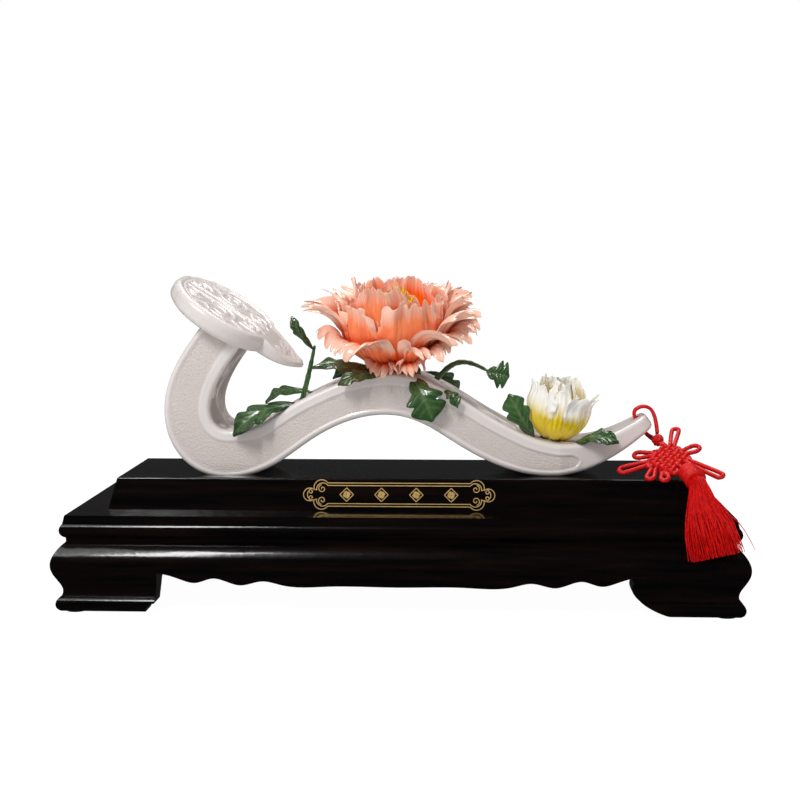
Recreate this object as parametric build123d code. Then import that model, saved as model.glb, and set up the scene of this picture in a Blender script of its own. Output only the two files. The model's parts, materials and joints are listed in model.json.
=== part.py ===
from build123d import *
import os
from math import cos, radians, sin, tan

# A porcelain ruyi scepter with a peony and a bud, lying on a lacquered wooden stand, with a knotted tassel.
# Millimetres, +Z up, the front is -Y. The origin is the middle of the stand's footprint, on the floor.

# Stand, overall
stand_length = 420.0
stand_depth = 150.0
pad_thickness = 1.0
pad_diameter = 13.0
pad_inset = 12.6

# Skirt boards: insets run inwards from the widest line of the ogee, heights run up from the floor
skirt_wall = 20.0
foot_edge_inset = 5.0
bead_inset = 2.2
bead_height = 6.0
bead_top_inset = 5.2
bead_top_height = 10.2
ankle_inset = 6.0
ankle_height = 12.8
hollow_inset = 2.2
hollow_height = 22.5
belly_height = 31.0
shoulder_inset = 4.1
shoulder_height = 39.7
waist_inset = 8.0
waist_height = 43.3
skirt_top = 45.8

# Openings between the feet: the wave gives distances from the middle and heights over the apron's lowest line
apron_height = 17.3
apron_wave = [(42.0, 0.2), (70.0, 1.0), (81.0, 3.5), (95.5, 0.6), (111.0, 5.2), (122.0, 2.0), (133.0, 5.2)]
left_foot_reach = 153.0
left_foot_round = 5.5
bracket_height = 25.5
bracket_reach = 145.0
right_foot_reach = 163.0
right_foot_waist = 140.5
right_foot_waist_height = 17.0
right_foot_toe = 148.5
right_foot_toe_height = 8.0
side_arch_half = 34.0
side_arch_height = 21.0
side_arch_shoulder = 28.5
side_arch_shoulder_height = 13.5

# Tier: four rails round a core panel
tier_top = 59.5
rail_width = 41.0
rail_bulge_inset = 4.7
rail_bulge_height = 50.2
rail_fascia_inset = 6.4
rail_fascia_height = 54.5
rail_top_inset = 7.5
groove_depth = 6.0
groove_bottom = 50.0
groove_top = 55.5
panel_bottom = 47.5
panel_float = 0.3
tongue_long = 18.0
tongue_wide = 14.0
tongue_thick = 3.2
tongue_inset = 20.0
tongue_slack = 0.15

# Corner blocks and screws
block_side = 26.0
block_bottom = 8.0
block_chamfer = 12.0
block_screw_inset_x = 27.0
block_screw_inset_y = 36.0
counterbore_diameter = 9.4
counterbore_top = 34.0
screw_diameter = 4.0
screw_pilot = 3.4
screw_clearance = 4.4
screw_head_diameter = 8.0
screw_head_height = 2.2
screw_bite = 10.0
plinth_screw_x = 110.0
plinth_screw_y = 20.0
seat_slack = 0.2

# Plinth board
plinth_ledge = 29.0
plinth_slope = 5.0
plinth_height = 19.5
plinth_round = 1.2

# Gilt ornament on the plinth's front face
gilt_thickness = 0.3
gilt_line = 0.55
gilt_rail_length = 88.0
gilt_rail_gap = 1.6
gilt_rail_rise = 7.2
gilt_cloud_reach = 6.8
gilt_cloud_rise = 8.1
gilt_nose_reach = 15.0
gilt_nose_root = 8.4
gilt_nose_rise = 3.0
gilt_lozenge = 6.0
gilt_lozenge_pitch = 21.5

# Scepter shaft: x, height of the centre line above the seat, and thickness, from the head to the tail
rest_gap = 0.3
shaft_stations = [
    (-107.5, 93.2, 27.0),
    (-122.0, 73.2, 27.5),
    (-131.3, 55.7, 28.5),
    (-134.2, 39.7, 29.0),
    (-129.5, 23.4, 30.0),
    (-117.5, 13.8, 30.5),
    (-102.5, 12.7, 30.0),
    (-86.5, 17.2, 27.0),
    (-66.0, 30.0, 25.0),
    (-43.5, 42.2, 24.0),
    (-20.0, 49.7, 25.5),
    (2.0, 49.7, 26.0),
    (24.0, 41.2, 25.0),
    (46.0, 27.7, 25.0),
    (68.0, 16.4, 24.0),
    (92.0, 9.8, 21.0),
    (114.0, 11.2, 17.0),
    (134.0, 18.5, 13.0),
    (150.0, 28.0, 10.0),
    (157.0, 32.9, 8.5),
]
shaft_width = 58.0
shaft_round = 2.5
tail_start = 100.0
tail_width = 24.0
tail_round = 9.0
panel_first = 2
panel_last = 15
panel_upper_border = 7.0
panel_lower_border = 3.4
panel_depth = 0.8
cord_hole_diameter = 5.6
cord_hole_from_tip = 7.0

# Scepter head: a cloud plate on a plane that slopes to the right and leans to the front
head_x = -108.2
head_rise = 89.6
head_slope = 32.0
head_lean = 9.0
head_thickness = 11.5
head_rear = 47.0
head_rear_crown = 46.0
head_rear_crown_half = 11.0
head_shoulder = 40.0
head_shoulder_half = 22.0
head_lobe = 6.0
head_half_width = 39.0
head_notch = 22.0
head_notch_half = 17.0
head_tongue = 41.0
head_tongue_half = 12.2
head_tip = 50.0
head_top_round = 4.5
head_under_round = 3.0

# Petals: azimuth, rise at the root and at the lip, length, width, cup, turn of the lip, share where it starts.
# Azimuth 0 is right, 270 the front. The shares give place along the mid-rib, width and cup.
peony_x = -3.0
peony_lean = 14.0
receptacle_base = 15.0
receptacle_top = 9.0
receptacle_height = 9.0
petal_thickness = 1.4
petal_steps = 100
petal_shares = [
    (0.0, 0.34, 0.25),
    (0.25, 0.7, 0.62),
    (0.5, 0.95, 0.95),
    (0.7, 1.0, 0.92),
    (0.86, 0.95, 0.7),
    (1.0, 0.72, 0.45),
]
outer_root = (9.0, 5.0)
middle_root = (7.0, 5.0)
inner_root = (5.0, 6.5)
outer_petals = [
    (352.0, 30.0, 75.0, 62.0, 46.0, 8.0, -85.0, 0.6),
    (324.0, 8.0, 48.0, 62.0, 46.0, 8.0, -105.0, 0.58),
    (303.0, 8.0, 58.0, 50.0, 32.0, 6.0, -135.0, 0.58),
    (283.0, 46.0, 2.0, 36.0, 24.0, 4.0, -45.0, 0.55),
    (258.0, 46.0, 2.0, 35.0, 24.0, 4.0, -45.0, 0.55),
    (217.0, 10.0, 60.0, 60.0, 44.0, 8.0, -135.0, 0.58),
    (184.0, 32.0, 64.0, 69.0, 34.0, 7.0, -74.0, 0.62),
    (145.0, 32.0, 72.0, 60.0, 44.0, 8.0, -80.0, 0.62),
    (105.0, 34.0, 74.0, 60.0, 46.0, 8.0, -80.0, 0.62),
    (64.0, 34.0, 74.0, 60.0, 46.0, 8.0, -80.0, 0.62),
    (24.0, 32.0, 72.0, 60.0, 44.0, 8.0, -80.0, 0.62),
]
middle_petals = [
    (290.0, 8.0, 96.0, 66.0, 34.0, 9.0, -12.0, 0.75),
    (250.0, 30.0, 95.0, 69.0, 30.0, 9.0, -14.0, 0.75),
    (215.0, 16.0, 95.0, 60.0, 27.0, 8.0, -16.0, 0.75),
    (326.0, 16.0, 95.0, 60.0, 28.0, 8.0, -14.0, 0.75),
    (176.0, 20.0, 92.0, 58.0, 34.0, 9.0, -18.0, 0.75),
    (125.0, 32.0, 90.0, 58.0, 38.0, 10.0, -16.0, 0.75),
    (70.0, 32.0, 90.0, 58.0, 38.0, 10.0, -14.0, 0.75),
    (14.0, 20.0, 92.0, 58.0, 36.0, 9.0, -20.0, 0.75),
]
inner_petals = [
    (262.0, 48.0, 106.0, 39.0, 25.0, 7.0, -10.0, 0.75),
    (315.0, 48.0, 106.0, 39.0, 25.0, 7.0, -10.0, 0.75),
    (205.0, 48.0, 104.0, 42.0, 25.0, 7.0, -10.0, 0.75),
    (142.0, 54.0, 100.0, 46.0, 28.0, 8.0, -10.0, 0.75),
    (82.0, 54.0, 100.0, 47.0, 28.0, 8.0, -10.0, 0.75),
    (25.0, 52.0, 102.0, 43.0, 28.0, 8.0, -10.0, 0.75),
]
stamen_count = 14
stamen_ring = 3.0
stamen_diameter = 1.3
stamen_tip_diameter = 0.9
stamen_length = 40.0
stamen_lean = 6.0
stamen_sink = 1.0

# Bud
bud_x = 97.0
bud_y = -6.0
bud_lean_right = 16.0
bud_lean_front = 8.0
bud_receptacle_base = 9.0
bud_receptacle_top = 6.0
bud_receptacle_height = 5.0
bud_outer_root = (6.5, 1.5)
bud_inner_root = (4.0, 3.0)
bud_outer_petals = [
    (262.0, 34.0, 112.0, 42.0, 27.0, 7.0, -40.0, 0.78),
    (205.0, 36.0, 108.0, 43.0, 26.0, 7.0, -40.0, 0.78),
    (130.0, 38.0, 108.0, 42.0, 27.0, 7.0, -30.0, 0.78),
    (60.0, 38.0, 108.0, 42.0, 27.0, 7.0, -30.0, 0.78),
    (325.0, 30.0, 84.0, 39.5, 26.0, 7.0, -120.0, 0.7),
]
bud_inner_petals = [
    (295.0, 60.0, 112.0, 38.0, 20.0, 6.0, -20.0, 0.78),
    (170.0, 60.0, 112.0, 40.0, 20.0, 6.0, -20.0, 0.78),
    (50.0, 60.0, 112.0, 40.0, 20.0, 6.0, -20.0, 0.78),
]

# Leaves: root, tip, the way the upper face looks, width and bend, heights above the seat
leaf_thickness = 1.3
leaf_lobes = 3
leaf_notch = 0.6
leaves = {
    "leaf_left_low": ((-66.0, -20.0, 43.5), (-104.0, -33.5, 24.5), (-0.25, -0.65, 0.75), 18.0, 36.0),
    "leaf_left_high": ((-57.0, 0.0, 48.0), (-88.0, -3.0, 42.0), (-0.2, -0.35, 0.9), 13.0, 40.0),
    "leaf_left_upright": ((-55.2, -12.0, 77.5), (-69.5, -12.0, 98.5), (-0.5, -0.8, 0.2), 9.0, 25.0),
    "leaf_under_left": ((-13.0, -14.0, 61.0), (-56.0, -15.0, 66.0), (0.0, -0.4, 0.9), 18.0, 20.0),
    "leaf_under_front": ((-12.0, -26.0, 61.5), (-38.0, -36.0, 57.0), (0.0, -0.75, 0.65), 12.0, 40.0),
    "leaf_front": ((8.0, -24.0, 60.5), (20.5, -35.5, 34.5), (0.1, -0.95, 0.3), 28.0, 50.0),
    "leaf_front_small": ((27.0, -24.5, 52.0), (36.0, -35.0, 43.0), (0.3, -0.8, 0.5), 10.0, 55.0),
    "leaf_right": ((54.0, -7.0, 63.0), (68.5, -8.0, 60.0), (0.1, -0.97, 0.2), 21.0, 15.0),
    "leaf_bud_left": ((84.0, -15.0, 22.3), (68.0, -16.0, 50.0), (-0.35, -0.9, 0.2), 19.0, 20.0),
    "leaf_bud_right": ((109.5, -20.5, 18.6), (136.0, -28.5, 20.5), (0.15, -0.55, 0.85), 18.0, 40.0),
    "leaf_back_left": ((-14.0, 23.0, 59.5), (-48.0, 33.0, 55.0), (0.0, 0.55, 0.8), 18.0, 40.0),
    "leaf_back_right": ((12.0, 24.0, 59.5), (34.0, 35.0, 40.0), (0.1, 0.8, 0.5), 22.0, 55.0),
}

# Twigs: routes with heights above the seat
twig_diameter = 2.4
twig_left_route = [(-64.0, -12.0, 42.0), (-58.5, -12.2, 63.0), (-54.8, -12.0, 80.0)]
twig_right_route = [(20.0, 9.0, 55.0), (32.0, 4.0, 66.5), (56.0, -7.0, 63.0)]

# Knot and tassel: the knot lies on a plane through the button, places on it are (along, across)
button_centre = (162.4, -8.7, 20.0)
button_diameter = 7.5
knot_along = (0.324, -0.875, -0.36)
knot_face = (-0.191, -0.433, 0.881)
knot_centre = (22.5, -4.0)
knot_turn = -18.0
knot_half_long = 16.5
knot_half_wide = 13.5
knot_thickness = 5.6
knot_round = 2.2
ear_diameter = 2.4
ears = {
    "knot_ear_up": ((12.0, 3.8), (-4.0, 14.5), 2.2),
    "knot_ear_right_high": ((21.0, 6.0), (22.5, 17.5), 3.2),
    "knot_ear_right_low": ((27.5, 4.0), (57.5, 15.0), 2.2),
    "knot_ear_left_high": ((12.0, -10.0), (7.5, -20.0), 3.0),
    "knot_ear_left_low": ((19.5, -14.5), (17.5, -34.5), 3.0),
    "knot_ear_small_left": ((26.5, -15.5), (35.5, -22.5), 2.2),
    "knot_ear_small_right": ((33.5, -12.0), (42.0, -15.0), 2.2),
}
cap_lift = 2.0
cap_start = 39.0
cap_end = 52.0
cap_across = -0.5
cap_diameter = 12.5
cap_shoulder = 3.5
binding_width = 2.6
binding_diameter = 13.2
neck_diameter = 4.0
button_neck_end = (7.2, 0.6)
fringe_thickness = 9.0
fringe_turn = 0.15
fringe_line = [
    (179.6, -59.8, 0.6),
    (181.3, -67.3, -8.3),
    (183.2, -74.2, -17.8),
    (186.0, -79.4, -28.3),
    (188.5, -82.0, -39.3),
]
fringe_widths = [11.5, 17.0, 23.0, 29.0, 33.0]

# Hanging cords: a pair side by side, over the tail's tip and through its hole
cord_diameter = 2.2
cord_pair_gap = 0.6
cord_end_gap = 0.9
cord_over_tip = 2.2
cord_above_tail = 4.2

plinth_top = tier_top + plinth_height
seat_height = plinth_top + rest_gap
half_length = stand_length / 2
half_depth = stand_depth / 2
right = Vector(1, 0, 0)
rearward = Vector(0, 1, 0)
upward = Vector(0, 0, 1)
upright = (Align.CENTER, Align.CENTER, Align.MIN)
os.makedirs("parts", exist_ok=True)


def save(name, *shapes):
    solids = [solid for shape in shapes for solid in shape.solids()]
    export_step(Compound(children=solids), f"parts/{name}.step")


def mitred_board(section, half, length, wall):
    """A board along the front, at distance half from the middle, with its ends cut at 45 degrees."""
    blank = extrude(Plane.YZ * section, amount=length / 2, both=True)
    plan = Polyline(
        (-length / 2, -half),
        (length / 2, -half),
        (length / 2 - wall, -half + wall),
        (-length / 2 + wall, -half + wall),
        close=True,
    )
    return blank & extrude(make_face(plan), amount=plinth_top, dir=upward)


def skirt_section(half):
    """The skirt's profile across its thickness: bead, ankle, belly and waist."""
    bead = ThreePointArc(
        (foot_edge_inset - half, pad_thickness),
        (bead_inset - half, bead_height),
        (bead_top_inset - half, bead_top_height),
    )
    ogee = Spline(
        (bead_top_inset - half, bead_top_height),
        (ankle_inset - half, ankle_height),
        (hollow_inset - half, hollow_height),
        (-half, belly_height),
        (shoulder_inset - half, shoulder_height),
        (waist_inset - half, waist_height),
    )
    back = Polyline(
        (waist_inset - half, waist_height),
        (waist_inset - half, skirt_top),
        (skirt_wall - half, skirt_top),
        (skirt_wall - half, pad_thickness),
        (foot_edge_inset - half, pad_thickness),
    )
    return make_face([bead, ogee, back])


def rail_section(half):
    """The tier rail's profile: a bulge, a sloping fascia, and a groove for the panel at the back."""
    bulge = ThreePointArc(
        (waist_inset - half, skirt_top),
        (rail_bulge_inset - half, rail_bulge_height),
        (rail_fascia_inset - half, rail_fascia_height),
    )
    inner = rail_width - half
    rest = Polyline(
        (rail_fascia_inset - half, rail_fascia_height),
        (rail_top_inset - half, tier_top),
        (inner, tier_top),
        (inner, groove_top),
        (inner - groove_depth, groove_top),
        (inner - groove_depth, groove_bottom),
        (inner, groove_bottom),
        (inner, skirt_top),
        (waist_inset - half, skirt_top),
    )
    return make_face([bulge, rest])


def corners(inset_x, inset_y):
    """The four places at the given insets from the stand's corners, with their names and signs."""
    for side_y, name_y in ((-1, "front"), (1, "back")):
        for side_x, name_x in ((-1, "left"), (1, "right")):
            place = Pos(side_x * (half_length - inset_x), side_y * (half_depth - inset_y), 0)
            yield f"{name_y}_{name_x}", side_x * side_y, place


def four_boards(section, wall):
    """Front, back, left and right boards of one profile."""
    front = mitred_board(section(half_depth), half_depth, stand_length, wall)
    side = mitred_board(section(half_length), half_length, stand_depth, wall)
    return {
        "front": front,
        "back": Rot(0, 0, 180) * front,
        "left": Rot(0, 0, -90) * side,
        "right": Rot(0, 0, 90) * side,
    }


def rod(diameter, low, high):
    return Pos(0, 0, low) * Cylinder(diameter / 2, high - low, align=upright)


def screw(head_height, tip_height):
    """A countersunk wood screw that points up."""
    head = Cone(screw_head_diameter / 2, screw_diameter / 2, screw_head_height, align=upright)
    return Pos(0, 0, head_height) * head + rod(screw_diameter, head_height, tip_height)


def screw_room(head_height, top):
    """The clearance hole for such a screw, with the countersink for its head."""
    sink = Cone(
        screw_head_diameter / 2 + seat_slack,
        screw_clearance / 2,
        screw_head_height + seat_slack,
        align=upright,
    )
    return Pos(0, 0, head_height) * sink + rod(screw_clearance, head_height, top)


# Skirt boards with the openings between their feet
wave_left = [(-x, apron_height + rise) for x, rise in reversed(apron_wave)]
wave_right = [(x, apron_height + rise) for x, rise in apron_wave]
left_ankle = (left_foot_round - left_foot_reach, pad_thickness + left_foot_round)
left_bracket = (-bracket_reach, bracket_height)
right_bracket = (bracket_reach, bracket_height)
front_opening = make_face([
    RadiusArc((-left_foot_reach, pad_thickness), left_ankle, left_foot_round),
    Line(left_ankle, left_bracket),
    Spline(left_bracket, *wave_left, (0, apron_height), *wave_right, right_bracket),
    Spline(
        right_bracket,
        (right_foot_waist, right_foot_waist_height),
        (right_foot_toe, right_foot_toe_height),
        (right_foot_reach, pad_thickness),
    ),
    Polyline(
        (right_foot_reach, pad_thickness),
        (right_foot_reach, -pad_thickness),
        (-left_foot_reach, -pad_thickness),
        (-left_foot_reach, pad_thickness),
    ),
])
side_opening = make_face([
    Spline(
        (-side_arch_half, pad_thickness),
        (-side_arch_shoulder, side_arch_shoulder_height),
        (0, side_arch_height),
        (side_arch_shoulder, side_arch_shoulder_height),
        (side_arch_half, pad_thickness),
    ),
    Polyline(
        (side_arch_half, pad_thickness),
        (side_arch_half, -pad_thickness),
        (-side_arch_half, -pad_thickness),
        (-side_arch_half, pad_thickness),
    ),
])
openings = extrude(Plane.XZ * front_opening, amount=stand_depth, both=True)
openings += extrude(Plane.YZ * side_opening, amount=stand_length, both=True)
for side, blank in four_boards(skirt_section, skirt_wall).items():
    save(f"skirt_{side}", blank - openings)

# Tier rails, joined by loose tongues across their mitres and screwed to the corner blocks
tongue_height = (groove_bottom + groove_top) / 2
tongues = []
tongue_slots = Part()
for name, diagonal, place in corners(tongue_inset, tongue_inset):
    turned = place * Pos(0, 0, tongue_height) * Rot(0, 0, -45 * diagonal)
    slack = 2 * tongue_slack
    tongues.append(turned * Box(tongue_long, tongue_wide, tongue_thick))
    tongue_slots += turned * Box(tongue_long + slack, tongue_wide + slack, tongue_thick + slack)
rail_pilots = Part()
block_screws = []
for name, diagonal, place in corners(block_screw_inset_x, block_screw_inset_y):
    rail_pilots += place * rod(screw_pilot, skirt_top, skirt_top + screw_bite)
    block_screws.append(place * screw(counterbore_top, skirt_top + screw_bite))
for side, blank in four_boards(rail_section, rail_width).items():
    save(f"tier_rail_{side}", blank - tongue_slots - rail_pilots)
save("rail_tongues", *tongues)
save("block_screws", *block_screws)

# Core panel, let into the rails' grooves, and the plinth board screwed on through it
panel_long = stand_length - 2 * (rail_width + panel_float)
panel_wide = stand_depth - 2 * (rail_width + panel_float)
tenon_thick = groove_top - groove_bottom - panel_float
core_panel = Pos(0, 0, panel_bottom) * Box(panel_long, panel_wide, tier_top - panel_bottom, align=upright)
core_panel += Pos(0, 0, groove_bottom + panel_float / 2) * Box(
    panel_long + 2 * groove_depth, panel_wide + 2 * groove_depth, tenon_thick, align=upright
)
foot_length = stand_length - 2 * plinth_ledge
foot_depth = stand_depth - 2 * plinth_ledge
plinth_foot = Pos(0, 0, tier_top) * Rectangle(foot_length, foot_depth)
plinth_face = Pos(0, 0, plinth_top) * Rectangle(foot_length - 2 * plinth_slope, foot_depth - 2 * plinth_slope)
plinth_board = loft([plinth_foot, plinth_face])
plinth_board = fillet(plinth_board.edges().group_by(Axis.Z)[-1], plinth_round)
plinth_screws = []
for x in (-plinth_screw_x, 0, plinth_screw_x):
    for y in (-plinth_screw_y, plinth_screw_y):
        place = Pos(x, y, 0)
        core_panel -= place * screw_room(panel_bottom, tier_top)
        plinth_board -= place * rod(screw_pilot, tier_top, tier_top + screw_bite)
        plinth_screws.append(place * screw(panel_bottom, tier_top + screw_bite))
save("core_panel", core_panel)
save("plinth_board", plinth_board)
save("plinth_screws", *plinth_screws)

# Corner blocks under the rails, behind the feet
block_room = Part()
for name, diagonal, place in corners(block_screw_inset_x, block_screw_inset_y):
    block_room += place * rod(counterbore_diameter, block_bottom, counterbore_top)
    block_room += place * screw_room(counterbore_top, skirt_top)
block_inset = skirt_wall + block_side / 2
for name, diagonal, place in corners(block_inset, block_inset):
    block = place * Pos(0, 0, block_bottom) * Box(
        block_side, block_side, skirt_top - block_bottom, align=upright
    )
    inner_edge = block.edges().filter_by(Axis.Z).sort_by_distance((0, 0, block_bottom))[0]
    save(f"corner_block_{name}", chamfer(inner_edge, block_chamfer) - block_room)

# Felt pads under the feet
pad = Cylinder(pad_diameter / 2, pad_thickness, align=upright)
save("foot_pads", *[place * pad for name, diagonal, place in corners(pad_inset, pad_inset)])

# Gilt ornament: two double rails, a scroll of clouds at each end, and lozenges between
gilt_plane = Plane(
    origin=(0, -foot_depth / 2 + plinth_slope / 2, tier_top + plinth_height / 2),
    x_dir=right,
    z_dir=(0, -plinth_height, plinth_slope),
)
gilt = Sketch()
for height in (gilt_rail_rise, gilt_rail_rise - gilt_rail_gap):
    for rise in (height, -height):
        gilt += Pos(0, rise) * Rectangle(gilt_rail_length, gilt_line)
for side in (-1, 1):
    end = side * gilt_rail_length / 2
    nose_root = end + side * gilt_nose_root
    for half in (-1, 1):
        cloud = ThreePointArc(
            (end, half * gilt_rail_rise),
            (end + side * gilt_cloud_reach, half * gilt_cloud_rise),
            (nose_root, half * gilt_nose_rise),
        )
        gilt += trace(cloud, gilt_line)
    nose = ThreePointArc(
        (nose_root, gilt_nose_rise), (end + side * gilt_nose_reach, 0), (nose_root, -gilt_nose_rise)
    )
    gilt += trace(nose, gilt_line)
for step in (-1.5, -0.5, 0.5, 1.5):
    gilt += Pos(step * gilt_lozenge_pitch, 0) * Rot(0, 0, 45) * Rectangle(gilt_lozenge, gilt_lozenge)
save("gilt_ornament", extrude(gilt_plane * gilt, amount=gilt_thickness))

# Shaft: its side outline follows the stations, is as wide as the band and narrows in plan at the tail
centre_line = Spline(*[(x, rise) for x, rise, thickness in shaft_stations])


def beside(station, offset):
    """The point of the side view at a distance from the centre line, towards the upper side."""
    x, rise, thickness = station
    tangent = centre_line.tangent_at((x, rise))
    return Vector(x, rise) + Vector(-tangent.Y, tangent.X) * offset


def band(stations, upper_border, lower_border):
    """The side view between two lines inside the band's edges, and the upper line."""
    upper = Spline(*[beside(s, s[2] / 2 - upper_border) for s in stations])
    lower = Spline(*[beside(s, lower_border - s[2] / 2) for s in reversed(stations)])
    edges = [upper, Line(upper @ 1, lower @ 0), lower, Line(lower @ 1, upper @ 0)]
    return make_face(edges), upper


side_view, upper_line = band(shaft_stations, 0, 0)
seat_plane = Plane(origin=(0, 0, seat_height), x_dir=right, z_dir=-rearward)
shaft = extrude(seat_plane * side_view, amount=shaft_width / 2, both=True)
long_edges = [edge for edge in shaft.edges() if edge.geom_type == GeomType.BSPLINE]
shaft = fillet(long_edges, shaft_round)
tip_x, tip_rise, tip_thickness = shaft_stations[-1]
tail_reach = tip_x + tip_thickness / 2
plan = make_face(Polyline(
    (-half_length, -shaft_width),
    (tail_start - shaft_width, -shaft_width),
    (tail_start, -shaft_width / 2),
    (tail_reach, -tail_width / 2),
    (tail_reach, tail_width / 2),
    (tail_start, shaft_width / 2),
    (tail_start - shaft_width, shaft_width),
    (-half_length, shaft_width),
    close=True,
))
plan = fillet(plan.vertices().sort_by(Axis.X)[-2:], tail_round)
shaft &= Pos(0, 0, seat_height) * extrude(plan, amount=half_length, dir=upward)
panel_view, panel_line = band(
    shaft_stations[panel_first:panel_last + 1], panel_upper_border, panel_lower_border
)
for side in (-1, 1):
    floor = seat_plane.offset(-side * (shaft_width / 2 - panel_depth)) * panel_view
    shaft -= extrude(floor, amount=shaft_width, dir=rearward * side)
tail_way = centre_line.tangent_at(1)
tail_out = Vector(tail_way.X, 0, tail_way.Y)
tail_up = Vector(-tail_way.Y, 0, tail_way.X)
hole = Vector(tip_x, 0, seat_height + tip_rise) - tail_out * cord_hole_from_tip
hole_plane = Plane(origin=hole, x_dir=rearward, z_dir=tail_up)
shaft -= hole_plane * Cylinder(cord_hole_diameter / 2, 2 * shaft_width)

# Head: arcs round the rear, two side lobes and a tongue, on the leaning plane that also ends the shaft
slope = radians(head_slope)
lean = radians(head_lean)
head_plane = Plane(
    origin=(head_x, 0, seat_height + head_rise),
    x_dir=Vector(cos(slope), 0, -sin(slope)),
    z_dir=Vector(sin(slope), 0, cos(slope)) * cos(lean) - rearward * sin(lean),
)
shoulder = (-head_shoulder, head_shoulder_half)
notch = (head_notch, head_notch_half)
head_edge = [
    ThreePointArc((-head_rear, 0), (-head_rear_crown, head_rear_crown_half), shoulder),
    ThreePointArc(shoulder, (-head_lobe, head_half_width), notch),
    ThreePointArc(notch, (head_tongue, head_tongue_half), (head_tip, 0)),
]
head_outline = make_face(head_edge + [mirror(edge, about=Plane.XZ) for edge in head_edge])
head_layers = [
    (0, head_under_round),
    (head_under_round, 0),
    (head_thickness - head_top_round, 0),
    (head_thickness, head_top_round),
]
head = loft([
    Pos(0, 0, height) * scale(head_outline, by=1 - inset / head_half_width)
    for height, inset in head_layers
])
head_room = Box(2 * (head_rear + head_tip), 3 * head_half_width, half_length, align=upright)
shaft -= head_plane * head_room
save("scepter_head", head_plane * head)
save("scepter_shaft", shaft)


def top_of_shaft(x):
    """The height of the shaft's upper side over x, found by halving along its part right of the hook."""
    low = 0.4
    high = 1.0
    for halving in range(40):
        middle = (low + high) / 2
        if (upper_line @ middle).X < x:
            low = middle
        else:
            high = middle
    return seat_height + (upper_line @ low).Y


def petal(flower, root, azimuth, rise_start, rise_lip, length, width, cup, lip_turn, lip_from):
    """A loft through crescents across the mid-rib, which rises from the root and turns over at the lip."""
    turn = radians(azimuth)
    outward = Vector(cos(turn), sin(turn), 0)
    sideways = Vector(-sin(turn), cos(turn), 0)
    inside = Vector(0, petal_thickness)

    def way_at(share):
        rise = rise_start + (rise_lip - rise_start) * min(share / lip_from, 1)
        rise = radians(rise + lip_turn * max(share - lip_from, 0) / (1 - lip_from))
        return outward * cos(rise) + upward * sin(rise)

    place = outward * root[0] + upward * root[1]
    steps = 0
    sections = []
    for share, width_share, cup_share in petal_shares:
        while steps < round(share * petal_steps):
            place += way_at((steps + 0.5) / petal_steps) * (length / petal_steps)
            steps += 1
        plane = Plane(origin=place, x_dir=sideways, z_dir=way_at(share))
        near = Vector(-width * width_share / 2, cup * cup_share)
        far = Vector(width * width_share / 2, cup * cup_share)
        back = ThreePointArc(near, (0, 0), far)
        face = ThreePointArc(far + inside, inside, near + inside)
        outline = [back, Line(far, far + inside), face, Line(near + inside, near)]
        sections.append(plane * make_face(outline))
    return flower * loft(sections)


def flower_plane(x, y, lean_right, lean_front):
    """The frame of a flower that stands on the shaft, leaning to the right and to the front."""
    axis = Vector(sin(radians(lean_right)), -sin(radians(lean_front)), 1).normalized()
    return Plane(origin=(x, y, top_of_shaft(x)), x_dir=right - axis * axis.X, z_dir=axis)


def receptacle(flower, base, top, height):
    """The mound that carries the petals, cut to the curve of the shaft below it."""
    mound = flower * (rod(2 * base, -base, 0) + Cone(base, top, height, align=upright))
    return (mound - shaft).solids().sort_by(Axis.Z)[-1]


# Peony
peony = flower_plane(peony_x, 0, 0, peony_lean)
save("peony_receptacle", receptacle(peony, receptacle_base, receptacle_top, receptacle_height))
save("peony_petals_outer", *[petal(peony.location, outer_root, *row) for row in outer_petals])
save("peony_petals_middle", *[petal(peony.location, middle_root, *row) for row in middle_petals])
save("peony_petals_inner", *[petal(peony.location, inner_root, *row) for row in inner_petals])
stamen = Cone(stamen_diameter / 2, stamen_tip_diameter / 2, stamen_length, align=upright)
stamens = []
for number in range(stamen_count):
    spread = 0.5 + 0.5 * (number % 2)
    stamens.append(
        peony.location
        * Rot(0, 0, 360 / stamen_count * number)
        * Pos(stamen_ring * spread, 0, receptacle_height - stamen_sink)
        * Rot(0, stamen_lean * spread, 0)
        * stamen
    )
save("peony_stamens", *stamens)

# Bud
bud = flower_plane(bud_x, bud_y, bud_lean_right, bud_lean_front)
save("bud_receptacle", receptacle(bud, bud_receptacle_base, bud_receptacle_top, bud_receptacle_height))
save("bud_petals_outer", *[petal(bud.location, bud_outer_root, *row) for row in bud_outer_petals])
save("bud_petals_inner", *[petal(bud.location, bud_inner_root, *row) for row in bud_inner_petals])


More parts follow.
